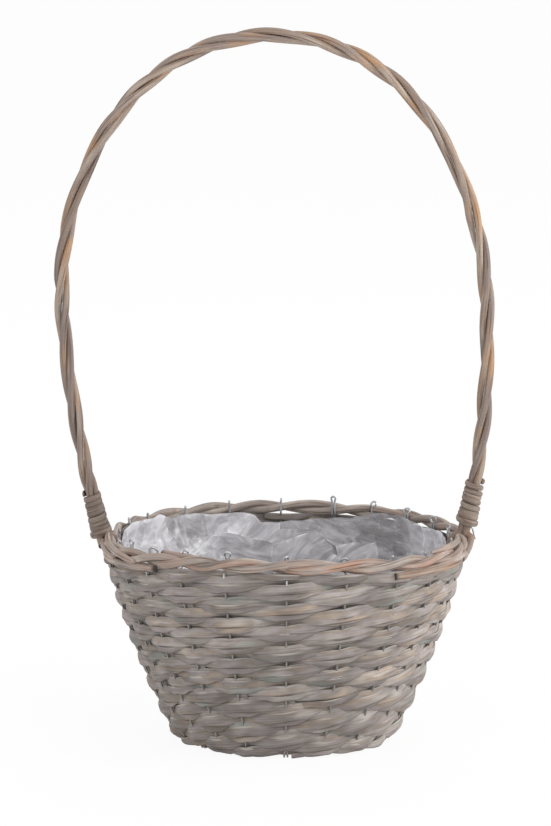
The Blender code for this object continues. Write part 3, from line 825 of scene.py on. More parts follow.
@dataclass
class WovenWall:
    """The wall: ten strands of split strips that climb to the right, outside one hairpin, inside the next."""

    plan: BasketPlan
    material: bpy.types.Material
    strip_width: float = 0.0077
    filler_width: float = 0.0056
    bulge_share: float = 0.14
    back_share: float = 0.05
    sway: float = 0.0022
    slant: float = 0.14
    layer: float = 0.0005
    crossing_groove: float = 0.0029
    full_reach: float = 0.98
    least_upper_reach: float = 0.78
    least_lower_reach: float = 0.46
    roundness: float = 45.0
    foot_lift: float = 0.0019
    floor_gap: float = 0.0004
    least_room: float = 0.0028
    least_width: float = 0.0012
    unevenness: float = 0.00022
    steps_per_stake: int = 9
    lap: float = 0.5
    end_step: float = 0.0005
    rim_shade: float = 0.6
    rim_shade_depth: float = 0.007
    rim_shade_run: float = 0.004

    def fan(self, place: np.ndarray) -> np.ndarray:
        """How far a strand is fanned out: 1 at a hairpin, 0 halfway to the next."""
        return 0.5 + 0.5 * np.cos(FULL_TURN * place)

    def room(self, strand: int, place: np.ndarray) -> tuple[np.ndarray, np.ndarray, np.ndarray, np.ndarray]:
        """Height that a strand has at places counted in hairpins.

        Args:
            strand: Number of the strand.
            place: Places along it.

        Returns:
            Its lowest and highest edge if it stayed fully fanned out, then the lowest and highest it has.
        """
        plan = self.plan
        row = strand - plan.first_row_share + place * plan.weaver_count / plan.stake_count
        fan = self.fan(place)
        outside = 0.5 + 0.5 * np.cos(math.pi * (place + strand))
        floor = self.floor_gap + self.foot_lift * (1 - outside) ** 2
        groove = self.crossing_groove / 2 * fan**3
        pitch = plan.upper_row_pitch
        upper_taper = groove + (self.full_reach - self.least_upper_reach) * pitch * (1 - fan)
        lower_taper = groove + (self.full_reach - self.least_lower_reach) * pitch * (1 - fan) ** 1.6
        ceiling = plan.weave_top + plan.rim_swell(place)
        below, above = plan.row_height(row - self.full_reach), plan.row_height(row + self.full_reach)
        return (np.maximum(below, floor), np.minimum(above, ceiling),
                np.maximum(below + lower_taper, floor), np.minimum(above - upper_taper, ceiling))

    def strand_ends(self, strand: int) -> tuple[float, float]:
        """First and last place where a strand has enough height."""
        place = np.arange(-30.0, 60.0, 0.05)
        _, _, lowest, highest = self.room(strand, place)
        inside = place[highest - lowest > self.least_room]
        return float(inside[0]), float(inside[-1])

    def add_strip(self, bodies: SweptBodies, strand: int, lane: float, start: float, end: float, seed: float,
                  width: float, layer: float) -> None:
        """Add one split strip; its end lies on the next strip's start.

        Args:
            bodies: Bodies that it joins.
            strand: Strand that it belongs to.
            lane: Its share of the way from the lower to the upper edge of the strand.
            start: Place where it starts, counted in hairpins.
            end: Place where it ends.
            seed: Picks its irregularities.
            width: Its width.
            layer: How far out it lies in the strand between hairpins.
        """
        steps = max(6, int((end - start) * self.steps_per_stake))
        place = np.linspace(start, end, steps)
        low, high, lowest, highest = self.room(strand, place)
        fan = self.fan(place)
        widths = np.minimum(width * (1 + 0.08 * wobble(place, seed, 3.1)), high - low)
        slack = np.maximum(high - low - widths, 0)
        share = np.clip(lane + 0.10 * wobble(place, seed + 0.37, 4.3), 0, 1)
        height = low + widths / 2 + slack * share
        upper_edge = np.minimum(height + widths / 2, highest)
        lower_edge = np.maximum(height - widths / 2, lowest)
        height, widths = (upper_edge + lower_edge) / 2, np.maximum(upper_edge - lower_edge, self.least_width)
        rest = self.unevenness * wobble(place, seed + 0.71, 2.3)
        rest = rest + self.end_step * (np.exp((place - end) / 0.4) - np.exp((start - place) / 0.6))
        swing = np.cos(math.pi * (place + strand))
        sway = self.sway * swing + layer * (1 - 0.6 * fan) + rest
        off_middle = height - (low + high) / 2
        sway = sway - self.slant * off_middle - self.roundness * off_middle**2
        angle = self.plan.angle(place)
        centres, out = self.plan.surface(angle, height, sway)
        tilt = 0.08 * wobble(place, seed + 0.11, 2.9) - self.slant
        tilt = tilt - (lane - 0.5) * 0.6 * fan * (0.5 + 0.5 * swing)
        profiles = split_profiles(widths, self.bulge_share, self.back_share, seed)
        # The tone holds each strip's own random tone plus painted light: the right side lighter, the sides
        # lighter than the front, and the lower strip of each strand darker as painted shade.
        tone = 1.2 * chance(seed) - 0.15 + 0.3 * wobble(place, seed + 0.5, 6.0) + 0.3 * np.sin(angle)
        tone = tone + 0.5 * (lane - 0.6) + 0.68 * np.abs(np.sin(angle)) - 0.47
        ceiling = self.plan.weave_top + self.plan.rim_swell(place)
        near_rim = np.clip((height + self.rim_shade_depth - ceiling) / self.rim_shade_run, 0, 1)
        tone = tone - self.rim_shade * near_rim
        bodies.sweep(centres, out, profiles, seed, tone, chance(seed + 5.3), tilt=tilt,
                     # The painted edge highlight and the dirt and painted shade show less between hairpins.
                     edge_share=0.68 + 0.32 * fan)

    def inside_place(self, strand: int, place: float) -> float:
        """Nearest place where a strand runs behind a hairpin, so that a cut end shows beside it at most."""
        return 2 * round((place + strand - 1) / 2) + 1.0 - strand

    def strand_strips(self, strand: int) -> list[tuple[float, float, float, float, float, float]]:
        """Lay out the strips of a strand.

        Args:
            strand: Number of the strand.

        Returns:
            Lane, start, end, seed, width and layer of each strip.
        """
        first, last = self.strand_ends(strand)
        strips = []
        front = 1 if chance(strand + 0.5) > 0.4 else -1
        for lane, layer in ((0.0, -front), (1.0, front)):
            start = first
            number = 0
            while start < last - 2:
                seed = strand * 7.31 + lane * 3.17 + number * 1.93
                end = self.inside_place(strand, start + 8 + 6.0 * chance(seed)) + 0.4 * chance(seed + 0.3)
                if last - end < 3:
                    end = last
                strips.append((lane, start, end, seed, self.strip_width, layer * self.layer))
                start = end - self.lap if end < last else last
                number += 1
        foot_band = self.inside_place(strand, first + 5.3 * self.plan.stake_count / self.plan.weaver_count)
        strips.append((0.5, first + 0.6, foot_band + 0.2, strand + 0.77, self.strip_width, 1.6 * self.layer))
        start = foot_band + 2.0
        while start < last - 8:
            length = 6.0 if chance(strand + start) < 0.6 else 4.0
            strips.append((0.3 + 0.4 * chance(strand + start + 0.7), start - 0.1, start + length + 0.2,
                           strand + start, self.filler_width, 1.6 * self.layer))
            start += length + (4.0 if chance(strand + start + 0.3) < 0.5 else 8.0)
        return strips

    def build(self) -> None:
        """Weave all strands; the strips of each half stand for that half's CAD solid."""
        slots = (Slot.WILLOW_GREY, Slot.WILLOW_BLUE_GREY, Slot.WILLOW_BEIGE)
        for strand in range(self.plan.weaver_count):
            first, last = self.strand_ends(strand)
            middle = (first + last) / 2
            halves = (SweptBodies(), SweptBodies())
            for lane, start, end, seed, width, layer in self.strand_strips(strand):
                upper = int((start + end) / 2 > middle)
                self.add_strip(halves[upper], strand, lane, start, end, seed, width, layer)
            for upper, bodies in enumerate(halves):
                number = 2 * strand + upper + 1
                piece = bodies.piece(f"willow_strips_{number:02d}")
                hand_over(piece, self.material, slots[(number * 7) % 3], f"weaver_{number:02d}")


# ---- wire frame


@dataclass
class WireHairpins:
    """The wire stakes: hairpins that run up inside the rim's rods, open to an eye or hook above them, and are
    clenched under the base."""

    plan: BasketPlan
    material: bpy.types.Material
    leg_gap: float = 0.00069
    eye_radius: float = 0.0015
    loop_rise: float = 0.0090
    foot_length: float = 0.0065
    foot_spread: float = 0.0011
    foot_twist_height: float = 0.0120
    tuck: float = 0.0014
    tuck_height: float = 0.005
    bend_start: float = 0.0064
    bend_end: float = 0.0056
    twist_run: float = 0.0036
    loop_gap: float = 0.0010
    unevenness: float = 0.00014
    clearance: float = 0.0003
    rope_clearance: float = 0.00005
    rise_shares: tuple[float, ...] = (
        1.34, 1.12, 0.86, 0.55, 0.40, 0.40, 0.75, 0.74, 0.80, 0.90, 1.02,
        0.74, 0.72, 0.64, 0.66, 0.80, 0.60, 0.55, 1.22, 1.14, 1.36, 1.55,
    )
    eye_shares: tuple[float, ...] = (
        0.90, 1.30, 0.55, 0.70, 0.80, 1.00, 1.00, 1.35, 1.35, 1.10, 1.00,
        0.50, 0.50, 0.50, 0.50, 1.35, 1.00, 1.00, 1.10, 1.75, 1.10, 1.20,
    )
    eye_turns: tuple[float, ...] = (
        0.8, -0.3, 1.2, 0.9, 0.6, 0.3, 0.3, 0.5, 0.4, 0.4, 0.1,
        1.4, 1.4, 1.3, 1.3, 0.3, 0.3, 0.3, 0.4, 0.8, 1.0, 0.4,
    )

    def radius_at(self, height: np.ndarray, rim: float, rope: float) -> np.ndarray:
        """Radius of a hairpin's middle: in the wall, then bent in round the underside of the rim's rods.

        Args:
            height: Heights above the floor.
            rim: Height of the rope's middle there.
            rope: Radius of the rope's middle there.

        Returns:
            Radius at each height.
        """
        reach = self.plan.rope_reach + self.plan.wire_radius + self.rope_clearance
        below = np.clip(rim - height, 0.0, reach)
        round_rim = rope - np.sqrt(reach**2 - below**2)
        return np.where(height < rim - reach, self.plan.wall_radius(height),
                        np.minimum(self.plan.wall_radius(height), round_rim))

    def line(self, index: int) -> np.ndarray:
        """Points of one hairpin, from one clenched foot over the loop to the other."""
        plan = self.plan
        angle = float(plan.angle(index))
        out = around(angle, 1.0, 0.0)
        side = np.array([math.cos(angle), math.sin(angle), 0.0])
        rim = plan.rim_height + float(plan.rim_swell(index))
        eye = self.eye_radius * self.eye_shares[index]
        rope = float(plan.rope_line_radius(index))
        middle = plan.rim_height + self.loop_rise * self.rise_shares[index] - eye
        low = plan.wire_radius + self.clearance
        gap = max(self.leg_gap, self.loop_gap * math.cos(self.eye_turns[index]))
        heights = np.concatenate([np.linspace(low, rim - self.bend_start, 18),
                                  np.linspace(rim - self.bend_end, middle, 16)])
        foot_share = np.clip(heights / self.foot_twist_height, 0, 1)
        rim_share = np.clip((heights - rim + self.bend_end) / self.twist_run, 0, 1)
        turn = foot_share * math.pi / 2 + rim_share * (self.eye_turns[index] - math.pi / 2)
        spread = self.foot_spread + (self.leg_gap - self.foot_spread) * foot_share
        spread = spread + (gap - self.leg_gap) * rim_share
        round_eye = np.sqrt(np.clip(eye**2 - (middle - heights) ** 2, 0, None))
        spread = np.maximum(spread, round_eye)
        aside = self.unevenness * wobble(heights, index * 0.7, 0.03)
        inward = rim_share * gap * math.sin(self.eye_turns[index])
        tuck = self.tuck * np.clip(1 - heights / self.tuck_height, 0, 1)
        spine = out * (self.radius_at(heights, rim, rope) - inward - tuck)[:, None] + side * aside[:, None] \
            + UP * heights[:, None]
        pair = side * np.cos(turn)[:, None] - out * np.sin(turn)[:, None]
        legs = []
        for way in (-1, 1):
            leg = spine + pair * (way * spread)[:, None]
            foot = leg[0] - out * self.foot_length
            legs.append(np.vstack([foot, leg]))
        bends = np.linspace(0, math.pi, 11)[1:-1]
        lean = 0.7 * chance(index + 0.2)
        arc = spine[-1] - pair[-1] * (eye * np.cos(bends))[:, None] \
            + (UP + out * lean) * (eye * np.sin(bends))[:, None]
        return np.vstack([legs[0], arc, legs[1][::-1]])

    def build(self) -> None:
        """Bend all hairpins."""
        for index in range(self.plan.stake_count):
            piece = wire_piece(f"hairpin_{index + 1:02d}", [self.line(index)], self.plan.wire_radius)
            hand_over(piece, self.material, Slot.GALVANISED_WIRE, f"stake_{index + 1:02d}")


# ---- rim


@dataclass
class TwinedRim:
    """The rim: two irregular willow rods twisted tightly round each other outside the hairpins' loops, with
    laid rods and cut ends beside them."""

    plan: BasketPlan
    material: bpy.types.Material
    lead_share: float = 0.15
    steps_per_stake: int = 14
    corners: int = 12
    cut_length: float = 1.2
    waviness: float = 0.0005
    cut_ends: tuple[tuple[float, float, float, float], ...] = (
        (-2.62, -0.0046, 0.0034, 1.0), (-2.60, 0.0030, -0.0056, -1.0), (9.1, -0.0044, 0.0026, -1.0),
        (4.1, 0.0034, -0.0050, 1.0), (13.6, -0.0046, 0.0020, 1.0), (12.4, 0.0036, -0.0048, -1.0),
    )
    laid_rods: tuple[tuple[float, float, float, float, float, float], ...] = (
        (-5.3, -2.75, 0.0030, -0.0052, 0.0020, -0.0062), (1.9, 5.0, 0.0016, -0.0064, 0.0040, -0.0030),
        (2.9, 5.2, 0.0006, 0.0046, -0.0020, 0.0048), (-5.62, -3.2, 0.0002, 0.0068, 0.0052, -0.0022),
        (-5.95, -4.2, 0.0044, 0.0042, 0.0036, -0.0034),
    )

    def add_laid_rod(self, bodies: SweptBodies, start: float, end: float, *offsets: float) -> None:
        """Add a rod that lies along the rope and tapers to both ends.

        Args:
            bodies: Bodies that it joins.
            start: Place where it starts, counted in hairpins.
            end: Place where it ends.
            offsets: How far outside and above the middle of the rope it starts and ends.
        """
        share = np.linspace(0, 1, 36)
        place = start + (end - start) * share
        angle = self.plan.angle(place)
        radius = self.plan.rope_line_radius(place) + offsets[0] + (offsets[2] - offsets[0]) * share
        height = self.plan.rim_height + self.plan.rim_swell(place)
        height = height + offsets[1] + (offsets[3] - offsets[1]) * share
        radii = self.plan.rim_rod_radius * (0.86 - 0.5 * np.abs(2 * share - 1) ** 4)
        tone = 0.7 + 0.25 * np.sin(9 * share)
        bodies.sweep(around(angle, radius, height), around(angle, 1.0, 0.0),
                     round_profiles(radii, self.corners, 0.08, 0.1), start, tone, 0.35)

    def add_cut_end(self, bodies: SweptBodies, position: float, aside: float, above: float,
                    way: float) -> None:
        """Add the cut end of a rod that was pushed in beside the rope.

        Args:
            bodies: Bodies that it joins.
            position: Place of the cut, counted in hairpins.
            aside: How far outside the middle of the rope the cut is.
            above: How far above it.
            way: 1 where the rod comes from the right, -1 where it comes from the left.
        """
        share = np.linspace(0, 1, 12)
        place = position + way * self.cut_length * share
        angle = self.plan.angle(place)
        reach = 1 - 0.55 * share**2
        radius = self.plan.rope_radius + aside * reach
        height = self.plan.rim_height + self.plan.rim_swell(place) + above * reach
        radii = self.plan.rim_rod_radius * (0.92 - 0.3 * share)
        # Painted shade: the cut face of the end is painted dark.
        tone = 0.5 - 2.4 * (share < 0.05)
        bodies.sweep(around(angle, radius, height), around(angle, 1.0, 0.0),
                     round_profiles(radii, self.corners, 0.1, 0.3), position, tone, 0.3)

    def line(self, position: np.ndarray, phase: float) -> np.ndarray:
        """Middle of a rod at positions counted in hairpins."""
        round_share = FULL_TURN * position / self.plan.stake_count
        turn = math.pi * (position + phase + self.lead_share)
        turn = turn + 0.35 * np.sin(3 * round_share + 1.0) + 0.22 * np.sin(7 * round_share + 2.2)
        offset = self.plan.rope_offset * (1 + 0.06 * np.sin(5 * round_share + phase))
        radius = self.plan.rope_line_radius(position) + offset * np.cos(turn)
        height = self.plan.rim_height + self.plan.rim_swell(position) + offset * np.sin(turn)
        height = height + self.waviness * np.sin(4 * round_share + 0.6)
        return around(self.plan.angle(position), radius, height)

    def build(self) -> None:
        """Twine both rods; the bark is ruddier at the front and greyer at the left."""
        count = self.plan.stake_count * self.steps_per_stake
        position = np.arange(count) / self.steps_per_stake
        angle = self.plan.angle(position)
        ruddy = np.clip(0.42 + 0.5 * np.cos(angle - 0.5), 0, 1)
        for number in range(2):
            line = self.line(position, number)
            whole = np.sin(FULL_TURN * position / self.plan.stake_count * np.array([[3], [7], [11]]) + number)
            radii = self.plan.rim_rod_radius * (1 + 0.05 * whole.mean(axis=0))
            out = around(angle, 1.0, 0.0)
            tone = 0.45 + 0.25 * whole[1] + 0.1 * number
            bodies = SweptBodies()
            bodies.sweep(line, out, round_profiles(radii, self.corners, 0.05, number), number + 0.3,
                         np.clip(tone, 0, 1), ruddy * (0.6 + 0.4 * number), closed=True)
            for end in self.cut_ends[number::2]:
                self.add_cut_end(bodies, *end)
            for rod in self.laid_rods[number::2]:
                self.add_laid_rod(bodies, *rod)
            piece = bodies.piece(f"rim_rod_bark_{number + 1}")
            hand_over(piece, self.material, Slot.RIM_WILLOW, f"rim_rod_{number + 1}")


# ---- base


@dataclass
class WovenBase:
    """The base: rings of split strips woven over and under radial wires, round a coiled hub."""

    plan: BasketPlan
    willow: bpy.types.Material
    wire: bpy.types.Material
    hub_rings: int = 2
    ring_count: int = 8
    ring_pitch: float = 0.0066
    ring_gap: float = 0.0005
    ring_wave: float = 0.0004
    wire_end_gap: float = 0.0050
    first_radius: float = 0.0035
    middle_height: float = 0.0026
    weave: float = 0.0012
    steps_per_stake: int = 8

    def build(self) -> None:
        """Weave the rings and lay the wires between them."""
        count = self.plan.stake_count * self.steps_per_stake
        position = np.arange(count) / self.steps_per_stake
        angle = self.plan.angle(position)
        bodies = SweptBodies()
        for ring in range(self.hub_rings + self.ring_count):
            radius = self.first_radius + ring * self.ring_pitch
            outer = ring >= self.hub_rings
            swing = self.weave * np.cos(math.pi * (position + ring)) if outer else np.zeros(count)
            waves = FULL_TURN * position / self.plan.stake_count * (2 + ring % 3)
            radii = radius + self.ring_wave * np.sin(waves)
            centres = around(angle, radii, self.middle_height + swing)
            widths = np.full(count, self.ring_pitch - self.ring_gap)
            bodies.sweep(centres, np.tile(-UP, (count, 1)), split_profiles(widths, 0.13, 0.07), ring + 0.4,
                         chance(ring + 40.0), chance(ring + 60.0), closed=True)
        piece = bodies.piece("woven_base")
        hand_over(piece, self.willow, Slot.WILLOW_GREY, "base_mat")
        lines = []
        inner = self.first_radius + (self.hub_rings - 0.6) * self.ring_pitch
        outer_radius = self.plan.foot_radius - self.wire_end_gap
        for stake in range(self.plan.stake_count):
            radii = np.linspace(inner, outer_radius, 4)
            lines.append(around(float(self.plan.angle(stake)), radii, self.middle_height))
        hand_over(wire_piece("base_wires", lines, self.plan.wire_radius), self.wire, Slot.GALVANISED_WIRE)


# ---- liner


@dataclass
class FilmLiner:
    """The liner: thin film laid in the basket, crumpled into flat facets, with an uneven cut edge."""

    plan: BasketPlan
    material: bpy.types.Material
    sectors: int = 340
    levels: int = 56
    floor_rings: int = 18
    floor_height: float = 0.0062
    corner: float = 0.010
    stand_off: float = 0.0047
    rim_clear_radius: float = 0.1112
    crumple: float = 0.0052
    ripple: float = 0.0010
    mean_radius: float = 0.1
    corner_share: float = 0.6
    hug_share: float = 0.7
    hug_degrees: float = 268
    hug_spread: float = 24
    sharp_degrees: float = 14
    thickness: float = 0.00012
    flat_diameter: float = 0.39
    crease_lengths: tuple[float, ...] = (
        0.062, 0.085, 0.044, 0.058, 0.031, 0.040, 0.022, 0.028, 0.019, 0.015, 0.012)
    edge_heights: tuple[tuple[float, float], ...] = (
        (0, 0.126), (30, 0.125), (60, 0.127), (80, 0.124), (86, 0.119), (94, 0.119), (98, 0.1275),
        (109, 0.1288), (116, 0.1274), (121, 0.1270), (128, 0.1290), (133, 0.1308), (146, 0.1302),
        (150, 0.1272), (155, 0.1250), (165, 0.1235), (172, 0.1222), (176, 0.1209), (181, 0.1201),
        (188.3, 0.1199), (191, 0.1262), (198, 0.1278), (205, 0.1274), (211, 0.1292), (218, 0.1304),
        (224, 0.1288), (231, 0.1332), (238, 0.1324), (244, 0.1332), (250, 0.1335), (258, 0.1300),
        (265, 0.1190), (276, 0.1190), (284, 0.1270), (300, 0.1280), (330, 0.1270), (360, 0.126),
    )

    def edge(self, angle: np.ndarray) -> np.ndarray:
        """Height of the cut edge at an angle."""
        degrees, heights = np.array(self.edge_heights).T
        return np.interp(np.degrees(angle) % 360, degrees, heights) + 0.0003 * np.sin(41 * angle)

    def folds(self, angle: np.ndarray, height: np.ndarray) -> np.ndarray:
        """How far the film stands in from the wall: flat facets between straight creases of all sizes."""
        total = np.zeros_like(angle)
        along = angle * self.mean_radius
        for number, length in enumerate(self.crease_lengths):
            waves = round(FULL_TURN * self.mean_radius / length * math.cos(number * 2.1) * 2) / 2
            waves = round(waves) if abs(waves) >= 1 else 1
            climb = math.sin(number * 2.1 + 0.3) / length
            phase = chance(number + 2.0)
            warp = 0.12 * np.sin(3 * angle + number) + 0.10 * np.sin(60 * height + 2 * angle + 2 * number)
            turn = (waves * along / (self.mean_radius * FULL_TURN) + climb * height + phase + warp) % 1
            swing = 0.55 + 0.45 * np.sin((2 + number % 4) * angle + 45 * height + 1.7 * number)
            total = total + np.abs(2 * turn - 1) * swing * length / self.crease_lengths[0]
        share = np.clip(height / 0.12, 0, 1)
        return self.crumple * (0.3 + 0.7 * share) * total / 3.4

    def build(self) -> None:
        """Draw the film up from a ring, fill its floor, crumple it and give it its thickness."""
        bpy.ops.object.select_all(action="DESELECT")
        bpy.ops.mesh.primitive_circle_add(vertices=self.sectors, radius=1.0, fill_type="NOTHING")
        piece = bpy.context.object
        piece.name = "creased_film"
        bpy.ops.object.mode_set(mode="EDIT")
        bpy.ops.mesh.select_all(action="SELECT")
        for _ in range(self.levels):
            bpy.ops.mesh.extrude_region_move(TRANSFORM_OT_translate={"value": (0, 0, 1.0)})
        bpy.ops.object.mode_set(mode="OBJECT")
        heights = np.array([vertex.co.z for vertex in piece.data.vertices])
        for vertex, height in zip(piece.data.vertices, heights):
            vertex.select = bool(height < 0.5)
        for edge in piece.data.edges:
            edge.select = all(heights[k] < 0.5 for k in edge.vertices)
        bpy.ops.object.mode_set(mode="EDIT")
        for ring in range(self.floor_rings):
            share = 1 - 1 / (self.floor_rings + 1 - ring)
            bpy.ops.mesh.extrude_region_move()
            bpy.ops.transform.resize(value=(share, share, 1.0), center_override=(0, 0, 0))
        bpy.ops.mesh.merge(type="CENTER")
        bpy.ops.object.mode_set(mode="OBJECT")
        points = np.array([vertex.co for vertex in piece.data.vertices])
        angle = np.arctan2(points[:, 0], -points[:, 1])
        reach = np.hypot(points[:, 0], points[:, 1])
        level = points[:, 2] / self.levels
        height = self.floor_height + (self.edge(angle) - self.floor_height) * level
        clear = np.minimum(self.plan.wall_radius(height) - self.stand_off, self.rim_clear_radius)
        off = (np.degrees(angle) % 360 - self.hug_degrees) / self.hug_spread
        hug = 1 - self.hug_share * np.exp(-(off**2))
        wall = clear - hug * self.folds(angle, height)
        lift = self.corner * np.clip(1 - (height - self.floor_height) / self.corner, 0, 1)
        wall = wall - (lift**2) / self.corner * self.corner_share
        foot_wall = self.plan.wall_radius(self.floor_height) - self.stand_off
        floor_wall = foot_wall - self.corner * self.corner_share \
            - self.folds(angle, np.full_like(angle, self.floor_height))
        on_floor = level <= 0
        radius = np.where(on_floor, floor_wall * reach, wall)
        ripple = self.ripple * np.abs(np.sin(9 * angle + 60 * reach)) * on_floor * reach
        shaped = around(angle, radius, height + ripple)
        piece.data.vertices.foreach_set("co", shaped.ravel())
        piece.data.update()
        select_only(piece)
        bpy.ops.object.shade_smooth_by_angle(angle=math.radians(self.sharp_degrees))
        solidify = piece.modifiers.new("film thickness", "SOLIDIFY")
        solidify.thickness = self.thickness
        solidify.offset = 0
        bpy.ops.object.modifier_apply(modifier=solidify.name)
        turn_outwards(piece)
        hand_over(piece, self.material, Slot.FILM, "film_liner")


# ---- handle


@dataclass
class HandleArch:
    """The line that the handle follows, measured by length from the left binding to the right one."""

    plan: BasketPlan
    top_height: float = 0.4605
    widest_height: float = 0.2880
    half_span: float = 0.1382
    top_lean: float = 0.0085
    foot_lean: float = 0.0010
    foot_rise: float = 0.0050
    shoulder_share: float = 0.065
    points: np.ndarray = field(init=False)
    lengths: np.ndarray = field(init=False)

    def __post_init__(self) -> None:
        """Draw the arch densely and measure it."""
        foot = self.plan.rim_height + self.foot_rise
        leg = np.linspace(foot, self.widest_height, 80, endpoint=False)
        turn = np.linspace(0, math.pi, 241)
        rise = self.top_height - self.widest_height
        places = [(-1, float(self.leg_reach(z)), float(z)) for z in leg]
        places += [(-1 if t < math.pi / 2 else 1,
                    self.half_span * abs(math.cos(t)) * (1 + self.shoulder_share * math.sin(t) ** 4),
                    self.widest_height + rise * math.sin(t)) for t in turn]
        places += [(1, float(self.leg_reach(z)), float(z)) for z in leg[::-1]]
        self.points = np.array([self.side_point(*place) for place in places])
        self.lengths = lengths_along(self.points)

    @property
    def total(self) -> float:
        """Length of the whole arch."""
        return float(self.lengths[-1])

    @property
    def plane(self) -> np.ndarray:
        """Direction square to the plane of the arch."""
        return unit(np.cross(self.points[-1] - self.points[0], UP))

    def foot_angle(self, foot: Foot) -> float:
        """Angle at which a foot stands on the rim."""
        share = 0.25 if foot is Foot.RIGHT else 0.75
        return float(self.plan.angle(self.plan.stake_count * share))

    def leg_reach(self, height: np.ndarray | float) -> np.ndarray | float:
        """Reach of a leg below the widest height, where it draws in towards the rim."""
        share = (self.widest_height - height) / (self.widest_height - self.plan.rim_height)
        return self.half_span - (self.half_span - self.plan.rim_radius) * share**2

    def lean(self, height: float) -> float:
        """How far the middle of the arch leans to the left at a height."""
        share = (height - self.plan.rim_height) / (self.top_height - self.plan.rim_height)
        share = min(max(share * 1.4, 0.0), 1.0)
        return self.foot_lean + (self.top_lean - self.foot_lean) * share * share * (3 - 2 * share)

    def side_point(self, side: int, reach: float, height: float) -> np.ndarray:
        """Point of the arch on one side."""
        across = around(self.foot_angle(Foot(side)), 1.0, 0.0)
        return across * reach + np.array([-self.lean(height), 0.0, height])

    def frame(self, length: np.ndarray) -> tuple[np.ndarray, np.ndarray, np.ndarray]:
        """Places along the arch.

        Args:
            length: Lengths from its left end.

        Returns:
            Points, outward directions and sideways directions there.
        """
        length = np.atleast_1d(length)

        def at(where: np.ndarray) -> np.ndarray:
            """Points at lengths, held at both ends."""
            where = np.clip(where, 0, self.total)
            return np.stack([np.interp(where, self.lengths, self.points[:, k]) for k in range(3)], axis=1)

        along = unit(at(length + 0.003) - at(length - 0.003))
        outward = unit(-np.cross(along, self.plane))
        return at(length), outward, np.cross(along, outward)

    def beside(self, length: np.ndarray, radius: np.ndarray | float, turn: np.ndarray) -> np.ndarray:
        """Points beside the arch at a radius and a turn from its outward direction."""
        middle, outward, sideways = self.frame(length)
        radius = np.broadcast_to(radius, turn.shape)[:, None]
        return middle + radius * (outward * np.cos(turn)[:, None] + sideways * np.sin(turn)[:, None])


